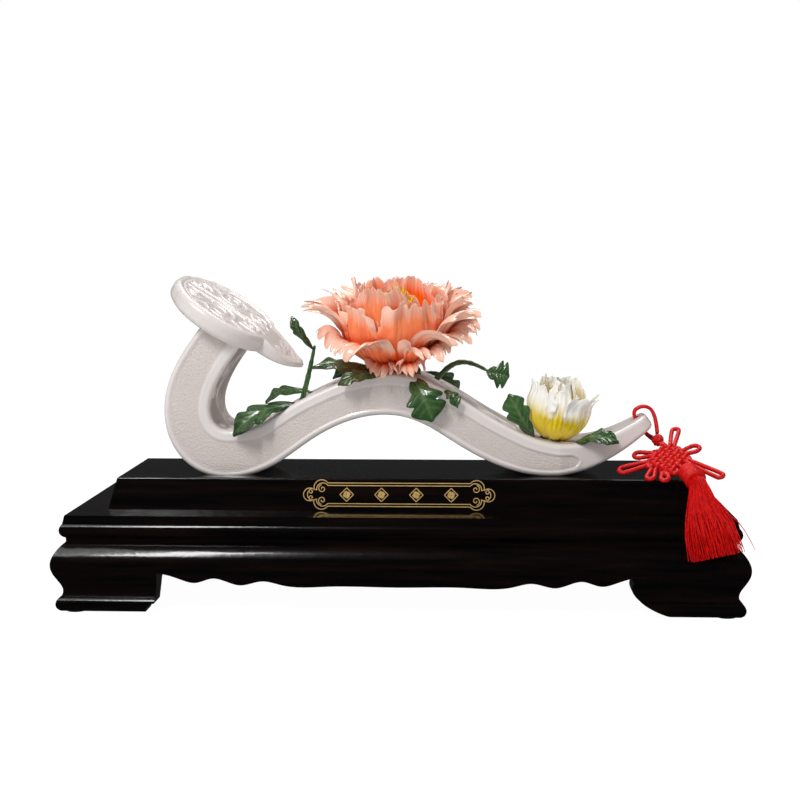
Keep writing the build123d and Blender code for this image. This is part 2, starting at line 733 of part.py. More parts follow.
def leaf(root, tip, face_way, width, bend):
    """A bent plate from root to tip, trimmed to an outline of round lobes and cut where it meets the shaft."""
    chord = Vector(*tip) - Vector(*root)
    length = chord.length
    sag = length / 2 * tan(radians(bend / 2))
    lift = Vector(0, leaf_thickness)
    far = Vector(length, 0)
    under = ThreePointArc((0, 0), (length / 2, sag), far)
    over = ThreePointArc(far + lift, Vector(length / 2, sag) + lift, lift)
    profile = make_face([under, Line(far, far + lift), over, Line(lift, (0, 0))])
    plate = extrude(Plane.XZ * profile, amount=width, both=True)
    step = length / leaf_lobes
    edge = [Vector(0, 0.1 * width)]
    for lobe in range(leaf_lobes):
        bulge = width / 2 * sin(radians(50 + 75 * lobe / (leaf_lobes - 1)))
        edge.append(Vector((lobe + 0.6) * step, bulge))
        edge.append(Vector((lobe + 1) * step, leaf_notch * bulge))
    side = Spline(*edge[:-1], far)
    outline = make_face([Line(-edge[0], edge[0]), side, mirror(side, about=Plane.XZ)])
    trimmed = plate & extrude(outline, amount=2 * (sag + leaf_thickness), both=True)
    way = Vector(*face_way)
    face = way - chord * (way.dot(chord) / length**2)
    start = Vector(*root) + upward * seat_height
    placed = Plane(origin=start, x_dir=chord, z_dir=face) * trimmed
    return (placed - shaft).solids().sort_by(SortBy.VOLUME)[-1]


for name, sizes in leaves.items():
    save(name, leaf(*sizes))


def tube(path, diameter):
    return sweep(Plane(origin=path @ 0, z_dir=path % 0) * Circle(diameter / 2), path=path)


def rounded_path(name, points):
    """Straight runs joined by tangent arcs, each as large as its two runs allow."""
    radii = []
    for before, here, after in zip(points, points[1:], points[2:]):
        turn = (here - before).get_angle(after - here)
        run = min((here - before).length, (after - here).length)
        radii.append(0.45 * run / tan(radians(turn / 2)))
    path = FilletPolyline(*points, radius=radii)
    print(name, "length", round(path.length, 1), "radii", [round(radius, 1) for radius in radii])
    return path


def on_seat(route):
    return [Vector(x, y, seat_height + rise) for x, y, rise in route]


# Twigs of the left upright leaf and the right leaf
for name, route in (("twig_left", twig_left_route), ("twig_right", twig_right_route)):
    save(name, tube(rounded_path(name, on_seat(route)), twig_diameter) - shaft)

# Button, the square knot, its ears, the tassel's cap and binding: all on the knot's plane
button = on_seat([button_centre])[0]
knot_plane = Plane(origin=button, x_dir=knot_along, z_dir=knot_face)
save("button_knot", knot_plane * Sphere(button_diameter / 2))
diamond = make_face(Polyline(
    (-knot_half_long, 0), (0, -knot_half_wide), (knot_half_long, 0), (0, knot_half_wide), close=True
))
diamond = fillet(diamond.vertices(), knot_round)
knot = extrude(diamond, amount=knot_thickness / 2, both=True)
knot = fillet(knot.edges().filter_by(GeomType.LINE).filter_by(Plane.XY), knot_thickness / 4)
knot = knot_plane * Pos(*knot_centre, 0) * Rot(0, 0, knot_turn) * knot
save("square_knot", knot)
for name, (root, tip, half_gap) in ears.items():
    way = (Vector(*tip) - Vector(*root)).normalized()
    across = Vector(-way.Y, way.X) * half_gap
    loop = FilletPolyline(
        Vector(*root) + across * 0.7,
        Vector(*tip) + across,
        Vector(*tip) - across,
        Vector(*root) - across * 0.7,
        radius=0.9 * half_gap,
    )
    save(name, knot_plane * tube(loop, ear_diameter) - knot)
cap_length = cap_end - cap_start
cap_pose = knot_plane * Pos(cap_start, cap_across, cap_lift) * Rot(0, 90, 0)
cap = Cylinder(cap_diameter / 2, cap_length, align=upright)
cap = fillet(cap.edges().group_by(Axis.Z)[0], cap_shoulder)
save("tassel_cap", cap_pose * cap)
binding = rod(binding_diameter, cap_length, cap_length + binding_width)
save("tassel_binding", cap_pose * fillet(binding.edges(), binding_width / 3))
cap_neck = cap_pose * rod(neck_diameter, -knot_half_long, 0)
neck_way = Plane(origin=(0, 0, 0), z_dir=(*button_neck_end, 0))
neck_length = Vector(*button_neck_end).length
button_neck = knot_plane.location * neck_way.location * rod(neck_diameter, button_diameter / 2, neck_length)
save("tassel_neck", cap_neck - knot, button_neck)

# Fringe: rounded sections along its lie over the tier's edge
fringe_points = on_seat(fringe_line)
fringe_path = Spline(*fringe_points)
fringe_sections = []
for point, width in zip(fringe_points, fringe_widths):
    lie = fringe_path.tangent_at(point)
    section = Plane(origin=point, x_dir=right + upward * fringe_turn, z_dir=lie)
    fringe_sections.append(section * RectangleRounded(width, fringe_thickness, fringe_thickness / 2.2))
save("tassel_fringe", loft(fringe_sections))

# Hanging cords: from the button over the tail's end, down through its hole and back to the button
tail_half = shaft_stations[-2][2] / 2
past_tip = cord_hole_from_tip + tip_thickness / 2 + cord_over_tip
clear_of_tail = tail_half + cord_above_tail
over_tip = hole + tail_out * past_tip + tail_up
under_hole = hole - tail_up * clear_of_tail
end_reach = button_diameter / 2 + cord_end_gap
rising = (over_tip - button).normalized()
rising_side = (rearward - rising * rising.Y).normalized()
returning = (under_hole - button).normalized()
for name, side in (("hang_cord_front", -1), ("hang_cord_back", 1)):
    aside = side * (cord_diameter + cord_pair_gap) / 2
    points = [
        button + rising * end_reach + rising_side * aside,
        over_tip + rearward * aside,
        hole + tail_out * (past_tip - cord_above_tail) + tail_up * clear_of_tail + rearward * aside,
        hole + tail_up * clear_of_tail + rearward * aside,
        under_hole + rearward * aside - tail_up * aside,
        button + returning * end_reach - tail_up * aside,
    ]
    save(name, tube(rounded_path(name, points), cord_diameter))
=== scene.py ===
import json
import bpy
import numpy as np
from mathutils import Matrix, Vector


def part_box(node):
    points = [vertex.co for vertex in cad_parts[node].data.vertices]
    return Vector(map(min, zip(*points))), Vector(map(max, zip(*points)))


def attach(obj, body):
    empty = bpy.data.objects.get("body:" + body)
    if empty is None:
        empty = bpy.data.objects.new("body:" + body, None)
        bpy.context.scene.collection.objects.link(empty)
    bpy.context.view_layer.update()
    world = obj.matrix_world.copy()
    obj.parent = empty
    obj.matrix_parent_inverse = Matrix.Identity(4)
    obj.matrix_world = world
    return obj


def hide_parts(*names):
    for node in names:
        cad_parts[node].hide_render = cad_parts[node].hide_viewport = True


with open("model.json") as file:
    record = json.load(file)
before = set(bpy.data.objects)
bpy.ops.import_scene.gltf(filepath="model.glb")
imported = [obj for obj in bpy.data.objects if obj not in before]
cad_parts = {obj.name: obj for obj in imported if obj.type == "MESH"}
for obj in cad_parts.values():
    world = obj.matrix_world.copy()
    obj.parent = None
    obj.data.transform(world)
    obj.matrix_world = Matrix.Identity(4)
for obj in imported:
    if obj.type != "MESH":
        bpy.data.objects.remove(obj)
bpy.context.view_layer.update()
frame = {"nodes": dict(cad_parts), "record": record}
print("frame loaded,", len(frame["nodes"]), "nodes")

millimetre = 0.001      # all shapes below are worked out in millimetres
restGap = 0.3      # between the plinth and the scepter lying on it
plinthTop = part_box("plinth_board")[1][2] / millimetre
seat = plinthTop + restGap
chance = np.random.default_rng(11)


def unit(vectors):      # the same ways, with length 1
    vectors = np.asarray(vectors, float)
    return vectors / np.linalg.norm(vectors, axis=-1, keepdims=True)


def leftOf(ways):      # directions of a plane, turned by a right angle
    return np.stack([-ways[..., 1], ways[..., 0]], -1)


def ease(low, high, values):      # 0 below low, 1 above high, smooth between
    share = np.clip((values - low) / (high - low), 0, 1)
    return share * share * (3 - 2 * share)


def waves(values, counts, depth=1.0):      # a sum of sines with drawn phases, about -depth to depth
    total = np.zeros_like(values)
    for count in counts:
        total = total + np.sin(2 * np.pi * (count * values + chance.random()))
    return depth * total / len(counts) ** 0.5


def runAlong(path):      # the way covered at each point of a path
    return np.concatenate([[0], np.cumsum(np.linalg.norm(np.diff(path, axis=0), axis=1))])


def smoothLine(knots, places):
    # natural cubic spline through the knots, spaced by their first two coordinates; places run from 0 to 1
    knots = np.asarray(knots, float)
    at = runAlong(knots[:, :2])
    step = np.diff(at)
    system = np.eye(len(at))
    inner = np.arange(1, len(at) - 1)
    system[inner, inner - 1] = step[:-1]
    system[inner, inner] = 2 * (step[:-1] + step[1:])
    system[inner, inner + 1] = step[1:]
    slope = np.diff(knots, axis=0) / step[:, None]
    right = np.zeros_like(knots)
    right[1:-1] = 6 * np.diff(slope, axis=0)
    bend = np.linalg.solve(system, right)
    where = np.asarray(places) * at[-1]
    part = np.clip(np.searchsorted(at, where) - 1, 0, len(step) - 1)
    span = step[part][:, None]
    after = (at[part + 1] - where)[:, None]
    before = (where - at[part])[:, None]
    curved = (bend[part] * after**3 + bend[part + 1] * before**3) / (6 * span)
    fromLast = (knots[part] / span - bend[part] * span / 6) * after
    toNext = (knots[part + 1] / span - bend[part + 1] * span / 6) * before
    return curved + fromLast + toNext


def arcThrough(first, middle, last, count):
    # circle through three points of a plane, sampled from first to last
    a, b, c = (complex(*point) for point in (first, middle, last))
    w = (c - a) / (b - a)
    centre = a + (b - a) * (w - abs(w) ** 2) / (2j * w.imag)
    turn = np.angle((b - centre) / (a - centre)) + np.angle((c - centre) / (b - centre))
    z = centre + (a - centre) * np.exp(1j * turn * np.linspace(0, 1, count))
    return np.stack([z.real, z.imag], -1)


def curl(centre, start, sense, radius, turns, count=70):
    # spiral that draws in from the radius, from the start angle in the sense of 1 or -1
    share = np.linspace(0, 1, count)
    angle = start + sense * 2 * np.pi * turns * share
    size = radius * (1 - 0.85 * share)
    return np.stack([centre[0] + size * np.cos(angle), centre[1] + size * np.sin(angle)], -1)


def ridges(places, lines, half):
    # how near each place lies to any of the lines: 1 on a line, falling off like a bell
    nearest = np.full(places.shape[:-1], np.inf)
    for line in lines:
        gaps = np.linalg.norm(places[..., None, :] - line, axis=-1).min(-1)
        nearest = np.minimum(nearest, gaps)
    return np.exp(-(nearest / half) ** 2)


def sweep(path, radius, sides, up, lay=0.0, turns=0.0):
    # circle carried along a path; lay raises two strands that wind round it, turns per millimetre
    path = np.asarray(path, float)
    tangent = unit(np.gradient(path, axis=0))
    side = unit(np.cross(tangent, np.asarray(up, float)))
    normal = np.cross(side, tangent)
    run = runAlong(path)[:, None]
    angle = np.linspace(0, 2 * np.pi, sides, endpoint=False)[None]
    size = np.broadcast_to(np.asarray(radius, float).reshape(-1, 1), (len(path), 1))
    size = size * (1 + lay * np.abs(np.cos(angle - 2 * np.pi * turns * run)))
    rings = path[:, None] + side[:, None] * (size * np.cos(angle))[..., None]
    rings = rings + normal[:, None] * (size * np.sin(angle))[..., None]
    around = np.linspace(0, 1, sides + 1)[None].repeat(len(path), 0)
    uv = np.stack([around, (run / 10).repeat(sides + 1, 1)], -1)      # around, and along in centimetres
    return rings, uv


def bored(mesh, barMesh):      # the mesh with the bar's shape cut out of it
    block, bar = (bpy.data.objects.new(one.name, one) for one in (mesh, barMesh))
    for one in (block, bar):
        bpy.context.collection.objects.link(one)
    cut = block.modifiers.new("bore", "BOOLEAN")
    cut.operation = "DIFFERENCE"
    cut.object = bar
    made = bpy.data.meshes.new_from_object(block.evaluated_get(bpy.context.evaluated_depsgraph_get()))
    for one in (block, bar):
        bpy.data.objects.remove(one)
    for one in (mesh, barMesh):
        bpy.data.meshes.remove(one)
    return made


class Shape:
    # Collects closed tubes: a grid of rings, rows along and columns around, zipped shut at both ends.
    def __init__(self):
        self.points = []
        self.quads = []
        self.uvs = []
        self.tones = {}
        self.total = 0

    def add(self, rings, uv=None, **tones):      # one tube, or a stack of like tubes
        rings = np.asarray(rings, float)
        rings = rings[None] if rings.ndim == 3 else rings
        count, rows, cols = rings.shape[:3]
        row, col = np.meshgrid(np.arange(rows - 1), np.arange(cols), indexing="ij")
        half = np.arange(cols // 2 - 1)
        zipped = np.stack([half + 1, half, cols - 1 - half, cols - 2 - half], -1)

        def faces(width, nextCol):      # corners in a grid of this width: the wall, then both ends
            near, far = row * width, (row + 1) * width
            wall = np.stack([near + col, near + nextCol, far + nextCol, far + col], -1).reshape(-1, 4)
            return np.concatenate([wall, zipped, zipped[:, ::-1] + (rows - 1) * width])

        quads = faces(cols, (col + 1) % cols)
        marks = faces(cols + 1, col + 1)      # the UV grid repeats the first column at the seam
        corner = rings.reshape(count, -1, 3)
        a, b, c, d = (corner[:, quads[:, k]] for k in range(4))
        volume = np.einsum("nij,nij->n", a, np.cross(b, c) + np.cross(c, d))
        inward = (volume < 0)[:, None, None]      # faces must look outwards
        start = self.total + np.arange(count)[:, None, None] * rows * cols
        self.quads.append((np.where(inward, quads[None, :, ::-1], quads[None]) + start).reshape(-1, 4))
        self.points.append(corner.reshape(-1, 3))
        uv = np.zeros((rows, cols + 1, 2)) if uv is None else np.asarray(uv, float)
        uv = np.broadcast_to(uv, (count, rows, cols + 1, 2)).reshape(count, -1, 2)
        looped = uv[np.arange(count)[:, None, None], np.where(inward, marks[None, :, ::-1], marks[None])]
        self.uvs.append(looped.reshape(-1, 2))
        for key, tone in tones.items():
            flat = np.broadcast_to(np.asarray(tone, float), (count, rows, cols)).reshape(-1)
            self.tones.setdefault(key, []).append(flat)
        self.total += count * rows * cols
        return self

    def mesh(self, name):      # all the tubes as one smooth mesh, with their UV and tones
        points = np.concatenate(self.points) * millimetre
        quads = np.concatenate(self.quads)
        mesh = bpy.data.meshes.new(name)
        mesh.vertices.add(len(points))
        mesh.vertices.foreach_set("co", points.ravel())
        mesh.loops.add(quads.size)
        mesh.loops.foreach_set("vertex_index", quads.ravel())
        mesh.polygons.add(len(quads))
        mesh.polygons.foreach_set("loop_start", np.arange(len(quads)) * 4)
        mesh.update(calc_edges=True)
        mesh.uv_layers.new(name="UVMap").data.foreach_set("uv", np.concatenate(self.uvs).ravel())
        for key, tone in self.tones.items():
            mesh.attributes.new(key, "FLOAT", "POINT").data.foreach_set("value", np.concatenate(tone))
        mesh.shade_smooth()
        return mesh

    def piece(self, name, finish, body, slotName, node, sharp=60, hole=None):
        # the finished object on its body; a hole is cut first, and edges past the sharp angle stay hard
        mesh = self.mesh(name)
        if hole:
            mesh = bored(mesh, hole.mesh(name + "Bar"))
        mesh.set_sharp_from_angle(angle=np.radians(sharp))
        made = bpy.data.objects.new(name, mesh)
        bpy.context.collection.objects.link(made)
        mesh.materials.append(finish.material)
        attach(made, body)
        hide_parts(node)
        return made


# Finishes

class Signal:
    # A node's output. Arithmetic on signals adds Math nodes.
    def __init__(self, nodes, socket):
        self.nodes = nodes
        self.socket = socket

    def math(self, operation, *values):
        return self.nodes.node("Math", {"operation": operation}, dict(enumerate(values)))

    def __abs__(self):
        return self.math("ABSOLUTE", self)

    def __add__(self, other):
        return self.math("ADD", self, other)

    def __radd__(self, other):
        return self.math("ADD", other, self)

    def __sub__(self, other):
        return self.math("SUBTRACT", self, other)

    def __rsub__(self, other):
        return self.math("SUBTRACT", other, self)

    def __mul__(self, other):
        return self.math("MULTIPLY", self, other)

    def __rmul__(self, other):
        return self.math("MULTIPLY", other, self)


class Nodes:
    # A node tree. One method makes any node and fills its sockets.
    def __init__(self, tree):
        self.tree = tree

    def fill(self, socket, value):      # a link or a plain value
        if isinstance(value, Signal):
            self.tree.links.new(value.socket, socket)
        else:
            socket.default_value = value

    def node(self, kind, settings=(), inputs=(), output=0):
        made = self.tree.nodes.new("ShaderNode" + kind)
        for key, value in dict(settings).items():
            if key == "stops":
                for element, (place, grey) in zip(made.color_ramp.elements, value):
                    element.position = place
                    element.color = (grey, grey, grey, 1)
            else:
                setattr(made, key, value)
        for key, value in dict(inputs).items():
            self.fill(made.inputs[key], value)
        return Signal(self, made.outputs[output])

    def showWhite(self, plain, kind, seen, bright, mirrored, output):
        # the camera sees a bright white, mirrored rays a dim one, and all other light the plain shader
        glow, dim = (self.node(kind, {}, {"Color": white, "Strength": light}) for light in (bright, mirrored))
        camera = self.node("LightPath", output="Is Camera Ray") * seen
        glossy = self.node("LightPath", output="Is Glossy Ray")
        shown = self.node("MixShader", {}, {0: camera, 1: Signal(self, plain.outputs[0]), 2: glow})
        closing = self.node("MixShader", {}, {0: glossy, 1: shown, 2: dim})
        self.fill(self.tree.nodes[output].inputs[0], closing)


class Finish(Nodes):
    # A material round one Principled shader.
    def __init__(self, name, **sockets):
        self.material = bpy.data.materials.new(name)
        self.material.use_nodes = True
        super().__init__(self.material.node_tree)
        self.shader = self.tree.nodes["Principled BSDF"]
        self.set(**sockets)

    def set(self, **sockets):
        for key, value in sockets.items():
            self.fill(self.shader.inputs[key.replace("_", " ")], value)

    def place(self, stretch=(1, 1, 1), source="Object"):      # object coordinates or UV, stretched
        return self.node("Mapping", {}, {"Vector": self.node("TexCoord", output=source), "Scale": stretch})

    def axis(self, number):      # one coordinate of the UV, as a value
        return self.node("SeparateXYZ", {}, {0: self.node("TexCoord", output="UV")}, number)

    def tone(self, name):      # an attribute of the piece
        return self.node("Attribute", {"attribute_name": name}, output="Fac")

    def noise(self, vector, scale, detail=3, roughness=0.55):
        inputs = {"Vector": vector, "Scale": scale, "Detail": detail, "Roughness": roughness}
        return self.node("TexNoise", {}, inputs)

    def ramp(self, value, *stops):      # from one grey to another along a value
        return self.node("ValToRGB", {"stops": stops}, {0: value})

    def mix(self, share, first, second):      # sockets 6, 7 and 2 are a Mix node's colours
        return self.node("Mix", {"data_type": "RGBA"}, {0: share, 6: first, 7: second}, 2)

    def bump(self, height, distance, strength):
        return self.node("Bump", {}, {"Height": height, "Distance": distance, "Strength": strength})


white = (1, 1, 1, 1)
colours = {      # on the screen, 0 to 255
    # the third porcelain colour is painted shade for the sunk panels and the head's carved field
    "porcelainDark": (216, 207, 203), "porcelainLight": (233, 227, 224), "porcelainPaintedShade": (190, 174, 166),
    "coralInside": (255, 112, 4), "coralOutside": (255, 138, 84),
    # coralRoot is the petal's own deeper orange base, deepened as painted shade low in the cup
    "coralRim": (255, 214, 192), "coralRoot": (228, 54, 0),
    "creamInside": (254, 250, 232), "creamOutside": (254, 252, 244),
    "creamRim": (255, 254, 250), "creamRoot": (240, 208, 2),
    "leafDark": (24, 52, 24), "leafLight": (62, 100, 52),
    "leafOlive": (92, 74, 30), "leafVein": (98, 128, 74),
    "twigDark": (40, 74, 34), "twigLight": (70, 108, 56),
    "calyxDark": (46, 60, 26), "calyxLight": (96, 108, 50),
    "stamenDark": (236, 170, 20), "stamenLight": (255, 226, 84),
    "lacquerDark": (4, 3, 4), "lacquerLight": (20, 10, 8),
    "woodDark": (92, 60, 36), "woodLight": (150, 108, 70),
    "steelDark": (120, 120, 122), "steelLight": (186, 186, 188),
    "goldDark": (214, 168, 92), "goldLight": (246, 216, 150),
    # the cord's dark red is painted shade between the strands, its light red a painted sheen highlight; the
    # even red is its own colour
    "cordCreviceShade": (128, 2, 3), "cordSheenHighlight": (244, 18, 14), "cordEven": (214, 7, 6),
    "feltDark": (18, 18, 18), "feltLight": (48, 46, 44),
}


def tint(name):      # a screen colour, as light
    share = np.array(colours[name]) / 255
    light = np.where(share <= 0.04045, share / 12.92, ((share + 0.055) / 1.055) ** 2.4)
    return (*light.tolist(), 1.0)


def makePorcelain():
    # cloudy white, greyed with painted shade in the sunk hollows, with fine grains where the piece is
    # stippled
    finish = Finish("whitePorcelain", Coat_Weight=0.5, Coat_Roughness=0.08, IOR=1.5)
    space = finish.place()
    cloud = finish.noise(space, 28, 4)
    grain = finish.node("TexVoronoi", {}, {"Vector": space, "Scale": 760, "Randomness": 0.85})
    stipple = finish.tone("stipple")
    body = finish.mix(cloud, tint("porcelainDark"), tint("porcelainLight"))
    # the base colour greys towards painted shade where the piece's shade share is high
    finish.set(
        Base_Color=finish.mix(finish.tone("hollow") * 0.75, body, tint("porcelainPaintedShade")),
        Roughness=0.24 + 0.2 * cloud + 0.18 * stipple,
        Normal=finish.bump((1 - grain) * (0.03 + stipple), 0.0007, 0.5),
    )
    return finish


def makePetal(name, tone, rootSpan, rimFrom):
    # colour by UV: the root's tone, then the face's own tone, then the pale torn rim, with fine streaks along
    finish = Finish(name, Coat_Weight=1.0, Coat_Roughness=0.05)
    across, along = finish.axis(0), finish.axis(1)
    streak = finish.noise(finish.place((24, 1, 1), "UV"), 1)
    patch = finish.noise(finish.place(), 60)
    root = tint(tone + "Root")
    face = finish.mix(finish.tone("inside"), tint(tone + "Outside"), tint(tone + "Inside"))
    # for the coral the root tone is partly its own deep orange and partly painted shade low in the cup; the
    # cream's yellow root is its own colour
    deep = finish.ramp(along + 0.25 * (streak - 0.5), (rootSpan[0], 1.0), (rootSpan[1], 0.0))
    face = finish.mix(deep, face, root)
    edge = abs(across - 0.5) * 2
    reach = along + 0.10 * edge * edge * edge + 0.17 * finish.tone("lip") + 0.2 * (streak - 0.5)
    face = finish.mix(finish.ramp(reach, (rimFrom, 0.0), (1.0, 0.9)), face, tint(tone + "Rim"))
    lines = finish.ramp(streak, (0.36, 0.0), (0.62, 1.0))
    finish.set(
        Base_Color=finish.mix(0.12 * (1 - lines), face, finish.mix(0.55, face, root)),
        Roughness=0.12 + 0.18 * patch,
        Normal=finish.bump(streak, 0.0006, 0.45),
    )
    return finish


def makeLeafGlaze():
    # two greens in patches, olive where the leaf is turning, paler veins
    finish = Finish("leafGlaze", Coat_Weight=0.6, Coat_Roughness=0.06)
    space = finish.place()
    patch = finish.noise(space, 45, 4)
    fine = finish.noise(space, 420)
    patches = finish.ramp(patch, (0.35, 0.0), (0.68, 1.0))
    green = finish.mix(patches, tint("leafDark"), tint("leafLight"))
    turning = finish.mix(finish.tone("autumn"), green, tint("leafOlive"))
    finish.set(
        Base_Color=finish.mix(finish.tone("vein") * 0.6, turning, tint("leafVein")),
        Roughness=0.12 + 0.25 * fine,
        Normal=finish.bump(fine, 0.0004, 0.4),
    )
    return finish


def makeLacquer():
    # black lacquer, brown bands along the grain, fine orange peel
    finish = Finish("blackLacquer", Specular_IOR_Level=0.22, Coat_Weight=0.12, Coat_Roughness=0.07)
    bands = finish.noise(finish.place((2.2, 9, 36)), 6, 5, 0.6)
    peel = finish.noise(finish.place(), 160, 2)
    dust = finish.noise(finish.place(), 900, 2)
    banding = finish.ramp(bands, (0.42, 0.0), (0.72, 1.0))
    finish.set(
        Base_Color=finish.mix(banding, tint("lacquerDark"), tint("lacquerLight")),
        Roughness=0.09 + 0.06 * bands + 0.06 * dust,
        Normal=finish.bump(peel, 0.0008, 0.10),
    )
    return finish


def makeCord(name, fibres):
    # satin red: a painted sheen highlight along the lay and painted shade between the strands, both led by
    # the thread noise
    finish = Finish(name, Specular_IOR_Level=0.3)
    thread = finish.noise(finish.place(fibres, "UV"), 1, 3, 0.6)
    shade = finish.noise(finish.place(), 180)
    # painted shade and painted sheen highlight, following the thread noise
    red = finish.mix(finish.ramp(thread, (0.3, 0.0), (0.7, 1.0)), tint("cordCreviceShade"), tint("cordSheenHighlight"))
    finish.set(
        Base_Color=finish.mix(0.5 * shade, red, tint("cordEven")),
        Roughness=0.26 + 0.22 * thread,
        Normal=finish.bump(thread, 0.0003, 0.6),
    )
    return finish


def makeMottled(name, tone, scale, rough, bump, span=None, stretch=(1, 1, 1), grain=(4, 0.55), **sockets):
    # one noise leads from a dark tone to a light one, varies the roughness and raises a fine bump
    finish = Finish(name, **sockets)
    mottle = finish.noise(finish.place(stretch), scale, *grain)
    share = finish.ramp(mottle, (span[0], 0.0), (span[1], 1.0)) if span else mottle
    least, gain = rough
    finish.set(
        Base_Color=finish.mix(share, tint(tone + "Dark"), tint(tone + "Light")),
        Roughness=least + gain * mottle if gain else least,
        Normal=finish.bump(mottle, *bump),
    )
    return finish


glazed = dict(rough=(0.2, 0.3), bump=(0.0004, 0.5), span=(0.35, 0.65), Coat_Weight=0.4, Coat_Roughness=0.12)
porcelain = makePorcelain()
# the coral's deep root reaches far up the petal as painted shade in the cup
coral = makePetal("coralPetal", "coral", (0.14, 0.74), 0.82)
cream = makePetal("creamPetal", "cream", (0.50, 0.92), 0.74)
leafGlaze = makeLeafGlaze()
stamenGlaze = makeMottled("stamenGlaze", "stamen", 400, **glazed)
twigGlaze = makeMottled("twigGlaze", "twig", 220, **glazed)
calyxGlaze = makeMottled("calyxGlaze", "calyx", 120, **glazed)
lacquer = makeLacquer()
innerWood = makeMottled("innerWood", "wood", 2, (0.5, 0.25), (0.0005, 0.5), None, (8, 90, 90), (6, 0.65))
steel = makeMottled("screwSteel", "steel", 260, (0.25, 0.25), (0.0002, 0.4), Metallic=1.0)
gold = makeMottled("gilding", "gold", 260, (0.22, 0.25), (0.0002, 0.4), Metallic=0.45)
felt = makeMottled("padFelt", "felt", 1500, (0.95, 0), (0.0004, 0.8))
cordRed = makeCord("redCord", (3, 26, 1))
flossRed = makeCord("redFloss", (2, 5, 1))
slotFinish = {
    "black_lacquer": lacquer, "inner_wood": innerWood, "screw_steel": steel, "felt": felt, "gilding": gold,
    "white_porcelain": porcelain, "peony_glaze": coral, "bud_glaze": cream, "stamen_glaze": stamenGlaze,
    "leaf_glaze": leafGlaze, "twig_glaze": twigGlaze, "calyx_glaze": calyxGlaze, "red_cord": cordRed,
}
for part in frame["record"]["subparts"]:
    for holder in frame["nodes"][part["node"]].material_slots:
        holder.material = slotFinish[part["material_slot"]].material
print("finishes made")


# Shaft of the scepter

shaft = {
    "stations": [      # x, centre line above the seat, thickness
        (-107.5, 93.2, 27), (-122, 73.2, 27.5), (-131.3, 55.7, 28.5), (-134.2, 39.7, 29), (-129.5, 23.4, 30),
        (-117.5, 13.8, 30.5), (-102.5, 12.7, 30), (-86.5, 17.2, 27), (-66, 30, 25), (-43.5, 42.2, 24),
        (-20, 49.7, 25.5), (2, 49.7, 26), (24, 41.2, 25), (46, 27.7, 25), (68, 16.4, 24), (92, 9.8, 21),
        (114, 11.2, 17), (134, 18.5, 13), (150, 28, 10), (157, 32.9, 8.5),
    ],
    "rows": 600, "topColumns": 74, "underColumns": 14, "sideColumns": 24, "edgeColumns": 6,
    "halfWidth": 29, "intoHead": 2, "edgeRound": 2.6, "edgeShare": 0.48,
    "tailStart": 100, "tailPastTip": 4, "tailHalf": 12, "tailRound": 9, "tipRound": 2.6, "tipShare": 0.6,
    "holeFromTip": 7, "holeRadius": 2.8, "holeReach": 12,
    "panelFrom": 7, "panelTo": 344, "upperBorder": 6.6, "lowerBorder": 3.2, "panelRound": 6,
    "panelSlope": 0.9, "panelDepth": 0.8, "stippleFade": (0.6, 1.6),
    "beadOut": 0.9, "beadHalf": 0.55, "beadHeight": 0.25, "beadFade": (-3, 0),
    "vineFrom": 10, "vineEnd": 30, "vineSwing": 8, "vineWave": 62, "vineHeight": 0.75, "vineHalf": 1.1,
    "vineFadeIn": (8, 22), "vineFadeOut": (45, 65),
    "tendrils": [      # along and across, start angle, sense, radius, turns
        ((4, -9), 1.2, 1, 9.5, 1.6), ((-9, 18), -1.9, -1, 6, 1.3),
    ],
    "tendrilEnd": 40, "rimInset": 3.6, "rimHalf": 0.8, "rimHeight": 0.45, "rimFadeOut": (25, 50),
}


def drawnIn(left, radius):      # how far a round end draws in, by the way left to its tip
    share = np.clip(1 - left / radius, 0, 1)
    return radius * (1 - np.sqrt(1 - share**2))


def tailEnd(line):      # tip of the centre line, the way out of the tail and the way up from it
    out = unit(line[-1, :2] - line[-2, :2])
    tip = np.array([line[-1, 0], 0, seat + line[-1, 1]])
    return tip, np.array([out[0], 0, out[1]]), np.array([-out[1], 0, out[0]])


